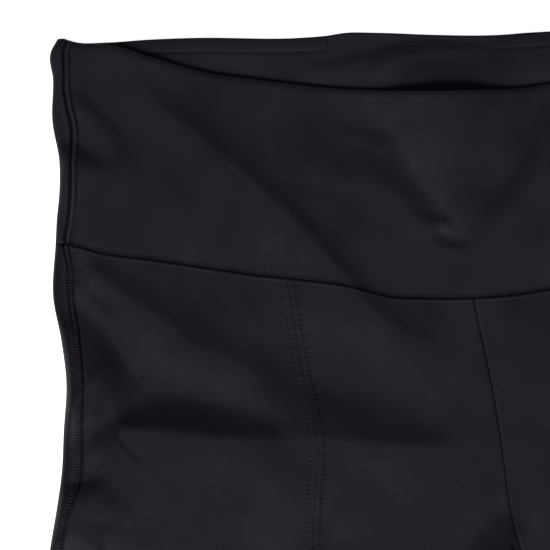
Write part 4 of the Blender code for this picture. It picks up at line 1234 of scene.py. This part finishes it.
def needle_holes(tree, map_name):
    """1 in the holes of a stitch row and 0 elsewhere. The map gives the distance from the row and
    the number of stitches along it, and the middle of each hole is where that number ends in .5."""
    uv = add_node(tree, "UVMap", {}, uv_map=map_name)
    distance, count = (add_node(tree, "SeparateXYZ", {"Vector": uv}, axis) for axis in "XY")
    share = add_node(tree, "Math", {0: count}, operation="FRACT")
    from_middle = add_node(tree, "Math", {0: share, 1: 0.5}, operation="SUBTRACT")
    along = add_node(tree, "Math", {0: from_middle, 1: HOLE_SPACING}, operation="MULTIPLY")
    place = add_node(tree, "CombineXYZ", {"X": distance, "Y": along})
    reach = add_node(tree, "VectorMath", {0: place}, "Value", operation="LENGTH")
    low, high = HOLE_RADIUS
    limits = {"Value": reach, "From Min": low, "From Max": high, "To Min": 1, "To Max": 0}
    return add_node(tree, "MapRange", limits, interpolation_type="SMOOTHSTEP")


def knit(name, dark, light, roughness=0.65, specular=0.12):
    """Jersey: two slanted wave patterns cross as the loops' legs do, with fuzz over them. Both
    drive a small bump and, with a slow cloud, a small change of colour. The shade attribute's
    painted shade and painted highlight, and the painted shade inside the needle holes, then darken
    or lighten it. A wave texture of scale 1 repeats every pi / 10, so that length over the loops'
    pitch is the scale."""
    material, tree, shader = new_material(name, roughness, specular)
    uv = add_node(tree, "UVMap", {}, uv_map="cloth")
    waves = []
    for turn in LOOP_TURNS:
        turned = add_node(tree, "Mapping", {"Vector": uv, "Rotation": (0, 0, math.radians(turn))})
        wave = {"Vector": turned, "Scale": math.pi / 10 / (LOOP_PITCH * MM), "Distortion": 0.5, "Detail": 1.0}
        waves.append(add_node(tree, "TexWave", wave, "Fac"))
    loops = add_node(tree, "Math", {0: waves[0], 1: waves[1]}, operation="MULTIPLY")
    fuzz = add_node(tree, "TexNoise", {"Vector": uv, "Scale": 1 / (FUZZ_PITCH * MM), "Detail": 2.0}, "Fac")
    cloud = add_node(tree, "TexNoise", {"Vector": uv, "Scale": 1 / (CLOUD_SIZE * MM), "Detail": 3.0}, "Fac")
    grain = add_node(tree, "Math", {0: loops, 1: LOOP_SHARE, 2: fuzz}, operation="MULTIPLY_ADD")
    mixed = add_node(tree, "Math", {0: grain, 1: cloud}, operation="MULTIPLY")
    colour = add_node(tree, "ValToRGB", {"Fac": mixed})
    for element, position, code in zip(colour.node.color_ramp.elements, KNIT_STOPS, (dark, light)):
        element.position = position
        element.color = srgb(code)
    down, across = (needle_holes(tree, map_name) for map_name in ("rows_down", "rows_across"))
    holes = add_node(tree, "Math", {0: down, 1: across}, operation="MAXIMUM")
    # Painted shade inside the needle holes.
    kept = add_node(tree, "Math", {0: holes, 1: -HOLE_PAINTED_SHADE, 2: 1.0}, operation="MULTIPLY_ADD")
    # The shade attribute: painted shade and painted highlight from the sewing functions.
    shade = add_node(tree, "Attribute", {}, "Fac", attribute_name="shade")
    dye = add_node(tree, "Math", {0: kept, 1: shade}, operation="MULTIPLY")
    dyed = add_node(tree, "VectorMath", {0: colour, "Scale": dye}, operation="SCALE")
    tree.links.new(dyed, shader.inputs["Base Color"])
    pulled = add_node(tree, "Bump", {"Height": kept, "Strength": 1.0, "Distance": HOLE_DEPTH * MM})
    relief = {"Height": grain, "Normal": pulled, "Strength": KNIT_BUMP, "Distance": KNIT_RELIEF * MM}
    tree.links.new(add_node(tree, "Bump", relief), shader.inputs["Normal"])
    return material


JERSEY = knit("brushed_nylon_jersey", "#140f19", "#1f1c25")
BAND_JERSEY = knit("double_nylon_jersey", "#140f19", "#1f1c25")
print("materials:", JERSEY.name, BAND_JERSEY.name)

# %% [markdown]
# The eight panels. Each is worked out as a wall, with its rows of stitches and its painted shade at
# each of its points, and stands for the frame's solid of the same name. The legs are one layer of
# jersey. The waistband is the same jersey laid double, so it has a material of its own.

# %% Build the panels
PANELS = {
    "front_side": (front_side, side_panel_sewing),
    "front_centre": (front_centre, centre_panel_sewing),
    "back_leg": (back_leg, back_leg_sewing),
}
pieces, outside_area = {}, {}


def cloth_area(grid):
    """Area of a grid of points, in square metres: half the cross product of each quad's diagonals."""
    first, second = grid[1:, 1:] - grid[:-1, :-1], grid[1:, :-1] - grid[:-1, 1:]
    return np.linalg.norm(np.cross(first, second), axis=-1).sum() / 2 * MM**2


def add_cloth(node, wall, sewing_of, material, *leg):
    """The finer cloth that stands for a node."""
    outside = wall[0]
    sewing = sewing_of(outside[..., 0], outside[..., 1], *leg)
    pieces[node] = wall_object(node + "_cloth", wall, sewing, material)
    outside_area[node] = round(float(cloth_area(outside)), 4)


for leg in SIDES:
    for part, (panel, sewing_of) in PANELS.items():
        add_cloth(f"{part}_{leg}", panel(leg), sewing_of, JERSEY, leg)
add_cloth("waistband_front", band_front(), band_sewing, BAND_JERSEY)
add_cloth("waistband_back", band_back(), band_back_sewing, BAND_JERSEY)

for name, piece in pieces.items():
    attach(piece, "root")
    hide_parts(name)
    "waistband_knit" if "band" in name else "stretch_knit"

# %% [markdown]
# The elastic. A narrow braided tape is sewn inside the top of the back waistband on either side of
# the centre back, and shows through the open mouth. A braid has fine ridges along it, so the tape
# is a thin wall whose top bulges between its edges with a cosine's ridges over it, and whose end
# towards the centre back is round. Its polyester is a little smoother than the brushed jersey.

# %% Elastic tapes
TAPE_EDGE = 0.06
TAPE_BULGE = 0.14
TAPE_RIDGES = 4
TAPE_RIDGE_HEIGHT = 0.018
TAPE_STEP = 1.2
TAPE_CLEARANCE = 0.04
TAPE_END_LEAST = 0.03
POINTS_PER_RIDGE = 6


def tape(leg):
    """The tape's wall. Half its width is that of a half circle near the round end. Its top bulges
    as 1 - across^2 between its thin edges, with the ridges over it."""
    start, end = TAPE_ENDS[leg]
    x = np.concatenate(([start], evenly(start, end, TAPE_STEP)))[None, :]
    half = TAPE_WIDTH / 2
    from_round = np.abs(x - (end if leg == "right" else start)) / half
    rounded = np.sqrt(np.clip(1 - np.clip(1 - from_round, 0, 1) ** 2, TAPE_END_LEAST, 1))
    across = np.linspace(-1, 1, POINTS_PER_RIDGE * TAPE_RIDGES + 1)[:, None]
    y = BACK_TOP(x) - TAPE_BELOW_TOP - half + half * rounded * across
    low = BAND_CLOTH + inside_lift(x, y) + TAPE_CLEARANCE
    ridges = TAPE_RIDGE_HEIGHT * np.cos(math.pi * TAPE_RIDGES * across)
    high = low + TAPE_EDGE + (TAPE_BULGE + ridges) * (1 - across**2)
    return stack(x, y, high), stack(x, y, low)


BRAID = knit("braided_elastic", "#131017", "#1b1820", roughness=0.6)
for leg in SIDES:
    wall = tape(leg)
    made = wall_object(f"waist_tape_{leg}", wall, plain_sewing(wall[0][..., 0], wall[0][..., 1]), BRAID)
    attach(made, "root")
    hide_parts(f"waist_elastic_{leg}")
    pieces[f"waist_elastic_{leg}"] = made

# %% [markdown]
# The thread. What shows of a lock stitch is a short float between two needle holes, sunk at its
# ends. Each float is a tube with six sides that narrows and dips at both ends. There are a few
# thousand, so all those of one seam are worked out together, as arrays, and joined in one mesh.
# The thread is textured polyester, matt and a little lighter than the cloth.

# %% Floats of thread
FLOAT_RINGS = np.array((0, 0.22, 0.78, 1.0))
FLOAT_GIRTH = np.array((0.5, 1.0, 1.0, 0.5))
FLOAT_DIP = np.array((1.0, 0, 0, 1.0))
FLOAT_SIDES = 6
FLOAT_CAP = np.array(((0, 1, 2, 3), (0, 3, 4, 5)))
DIP_DEPTH = 0.16
THREAD_RADIUS = 0.16
RUNG_RADIUS = 0.17
TWIST_PITCH = 0.3


def thread(name, dark, light):
    """Textured polyester thread, whose fine twist is a noise about as coarse as the thread."""
    material, tree, shader = new_material(name, roughness=0.55, specular=0.2)
    uv = add_node(tree, "UVMap", {}, uv_map="cloth")
    twist = add_node(tree, "TexNoise", {"Vector": uv, "Scale": 1 / (TWIST_PITCH * MM), "Detail": 1.0}, "Fac")
    colour = add_node(tree, "ValToRGB", {"Fac": twist})
    for element, code in zip(colour.node.color_ramp.elements, (dark, light)):
        element.color = srgb(code)
    tree.links.new(colour, shader.inputs["Base Color"])
    return material


THREAD = thread("polyester_thread", "#121015", "#221e27")


def float_mesh(middle, direction, length, radius):
    """Points and faces of floats from their middles and unit directions. Ring by ring, a point is
    the axis point plus radius * girth * (side * cos + up * sin)."""
    side = np.stack((-direction[:, 1], direction[:, 0], 0 * direction[:, 0]), axis=-1)
    up = np.array((0.0, 0.0, 1.0))
    angle = np.arange(FLOAT_SIDES) * 2 * math.pi / FLOAT_SIDES
    axis = middle[:, None, :] + direction[:, None, :] * ((FLOAT_RINGS - 0.5) * length)[None, :, None]
    axis = axis - up * (FLOAT_DIP * DIP_DEPTH)[None, :, None]
    ring = side[:, None, :] * np.cos(angle)[None, :, None] + up * np.sin(angle)[None, :, None]
    points = axis[:, :, None, :] + ring[:, None, :, :] * (radius * FLOAT_GIRTH)[None, :, None, None]
    corner = np.arange(FLOAT_SIDES)
    first_ring = np.arange(len(FLOAT_RINGS) - 1)[:, None] * FLOAT_SIDES
    start = (first_ring + corner).ravel()
    after = (first_ring + (corner + 1) % FLOAT_SIDES).ravel()
    tube = np.stack((start, start + FLOAT_SIDES, after + FLOAT_SIDES, after), axis=-1)
    one = np.concatenate((tube, FLOAT_CAP, first_ring[-1] + FLOAT_SIDES + FLOAT_CAP[:, ::-1]))
    first_point = np.arange(len(middle)) * len(FLOAT_RINGS) * FLOAT_SIDES
    return points.reshape(-1, 3), (one[None] + first_point[:, None, None]).reshape(-1, 4)


def add_floats(name, rows, length, radius=THREAD_RADIUS):
    """The floats of several rows as one piece that rides with the garment."""
    middle, direction = (np.concatenate(part) for part in zip(*rows))
    points, faces = float_mesh(middle, direction, length, radius)
    made = mesh_object(name, points, faces, {"cloth": points[:, :2] * MM}, THREAD)
    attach(made, "root")


# %% Rows of floats down the garment
COVER_FLOAT = 1.2
COVER_REACH = (HEM_LEVEL + 24, 10.0)
LADDER_FLOAT = 1.5
LADDER_REACH = (HEM_LEVEL + 22, 26.0)
RUNG_OVERHANG = 0.25
RUNG_SLANT = 0.12
RUNG_CREST = 1.0


def whole_stitches(start, end, pitch):
    """The places of the whole stitch counts between two ends."""
    return np.arange(math.ceil(start / pitch), math.floor(end / pitch) + 1) * pitch


def direction_of(along_x, along_y):
    """Unit directions on the table from their parts along x and y."""
    direction = stack(along_x, along_y, 0.0)
    return direction / np.linalg.norm(direction, axis=1, keepdims=True)


def cover_row(leg, inward, height_of):
    """Middles and directions of the coverstitch's floats at a distance from the leg seam."""
    y = whole_stitches(*COVER_REACH, COVER_PITCH)
    x = SIDES[leg] * (LEG_SEAM[leg](y) + inward)
    slope = SIDES[leg] * (LEG_SEAM[leg](y + 1) - LEG_SEAM[leg](y - 1)) / 2
    return stack(x, y, height_of(x, y, leg)), direction_of(slope, 1)


def ladder(leg):
    """The overlock's threads that cross the side seam below the waistband like rungs, at the height
    of its ridge."""
    y = whole_stitches(*LADDER_REACH, SIDE_PITCH)
    seam = side_seam(leg, y)
    x = SIDES[leg] * (seam - LADDER_FLOAT / 2 + RUNG_OVERHANG)
    height = side_panel_height(SIDES[leg] * (seam - RUNG_CREST), y, leg)
    return stack(x, y, height), direction_of(1 + 0 * y, RUNG_SLANT)


for leg in SIDES:
    cover = [
        cover_row(leg, NEEDLE_ROW["side"], side_panel_height),
        cover_row(leg, -NEEDLE_ROW["centre"], centre_panel_height),
    ]
    add_floats(f"leg_seam_thread_{leg}", cover, COVER_FLOAT)
for leg in SIDES:
    add_floats(f"side_seam_thread_{leg}", [ladder(leg)], LADDER_FLOAT, RUNG_RADIUS)

# %% Rows of floats across the garment
BACK_ROWS = (1.4, 4.6)
BACK_PITCH = 1.6
BACK_FLOAT = 1.0
BACK_SPARE = 2.0
HEM_FLOAT = 1.4
HEM_INSET = {"inner": 5.0, "outer": 3.0}


def row_across(level_of, offset, ends, pitch, height_of):
    """Middles and directions of a row of floats across the garment, a distance below a line."""
    x = whole_stitches(*ends, pitch)
    y = level_of(x) - offset
    slope = (level_of(x + 1) - level_of(x - 1)) / 2
    return stack(x, y, height_of(x, y)), direction_of(1, slope)


def inside_height(x, y):
    """The inside of the back waistband."""
    return BAND_CLOTH + inside_lift(x, y)


def hem_stitches(leg, row):
    """One of the hem's rows, on whichever front panel is there."""
    inner = INNER_EDGE[leg](HEM_LEVEL) + HEM_INSET["inner"]
    outer = side_seam(leg, HEM_LEVEL) - HEM_INSET["outer"]

    def level(x):
        return HEM_LEVEL + hem_curve(leg, x)

    def height(x, y):
        on_side_panel = SIDES[leg] * x > LEG_SEAM[leg](y)
        return np.where(on_side_panel, side_panel_height(x, y, leg), centre_panel_height(x, y, leg))

    return row_across(level, -row, sorted((SIDES[leg] * inner, SIDES[leg] * outer)), HEM_PITCH, height)


between_tapes = (TAPE_ENDS["right"][1] + BACK_SPARE, TAPE_ENDS["left"][0] - BACK_SPARE)
back_rows = [row_across(BACK_TOP, row, between_tapes, BACK_PITCH, inside_height) for row in BACK_ROWS]
add_floats("centre_back_thread", back_rows, BACK_FLOAT)
for leg in SIDES:
    add_floats(f"hem_thread_{leg}", [hem_stitches(leg, row) for row in HEM_ROWS], HEM_FLOAT)

# %% [markdown]
# The cut. Laid cloth keeps the size it was cut to, so each piece's flat area is that of its outside.
# The waistband is cut double and folded, and what shows is one half. Widths and lengths are those
# of the smallest rectangle, along the garment, that the piece is cut from.

# %% The sheets: width and length in metres, and what each rests on
SHEETS = {
    "front_side": ((0.150, 0.995), "back_leg{}_cloth"),
    "front_centre": ((0.165, 0.980), "back_leg{}_cloth"),
    "back_leg": ((0.310, 1.000), "floor"),
    "waistband_front": ((0.375, 0.130), "waistband_back_cloth"),
    "waistband_back": ((0.420, 0.130), "floor"),
}
for part, (flat, under) in SHEETS.items():
    for ending in ("",) if "band" in part else ("_right", "_left"):
        node = part + ending
        print(node, "cut", flat, "area", outside_area[node])

# %% [markdown]
# The light. The photograph has one broad, soft light, low at its lower left, and almost no light
# from elsewhere, so a sun with a wide angle stands for it and the sky is dim. Both have the faint
# tint that makes the near-black cloth read as it does there. The floor is white paper with a glow
# of its own, so that it stays plain white round the dark cloth.

# %% Floor and light
FLOOR_HALF = 12.0
FLOOR_BELOW = 0.0002
PAPER_GLOW = 0.9
SKY_COLOUR = (1.0, 0.78, 1.02, 1)
SKY_STRENGTH = 0.19
LIGHT_COLOUR = (0.985, 1.05, 1.0)
LIGHT_STRENGTH = 4.8
LIGHT_WIDTH = 34.0
LIGHT_ELEVATION = 33.0
LIGHT_TURN = -18.0

floor_mesh = bpy.data.meshes.new("floor")
around = ((-1, -1), (1, -1), (1, 1), (-1, 1))
corners = [(FLOOR_HALF * right, FLOOR_HALF * up, -FLOOR_BELOW) for right, up in around]
floor_mesh.from_pydata(corners, [], [(0, 1, 2, 3)])
floor = bpy.data.objects.new("floor", floor_mesh)
bpy.context.scene.collection.objects.link(floor)
paper, _, paper_shader = new_material("white_paper", roughness=0.9, specular=0.2)
paper_shader.inputs["Base Color"].default_value = srgb("#f4f4f4")
paper_shader.inputs["Emission Color"].default_value = (1, 1, 1, 1)
paper_shader.inputs["Emission Strength"].default_value = PAPER_GLOW
floor_mesh.materials.append(paper)

world = bpy.data.worlds.new("studio")
world.use_nodes = True
sky = world.node_tree.nodes["Background"]
sky.inputs["Color"].default_value = SKY_COLOUR
sky.inputs["Strength"].default_value = SKY_STRENGTH
bpy.context.scene.world = world

key = bpy.data.objects.new("key_light", bpy.data.lights.new("key_light", "SUN"))
key.data.energy = LIGHT_STRENGTH
key.data.color = LIGHT_COLOUR
key.data.angle = math.radians(LIGHT_WIDTH)
key.rotation_euler = (math.radians(90 - LIGHT_ELEVATION), 0, math.radians(LIGHT_TURN))
bpy.context.scene.collection.objects.link(key)
bpy.context.scene.view_settings.view_transform = "Standard"
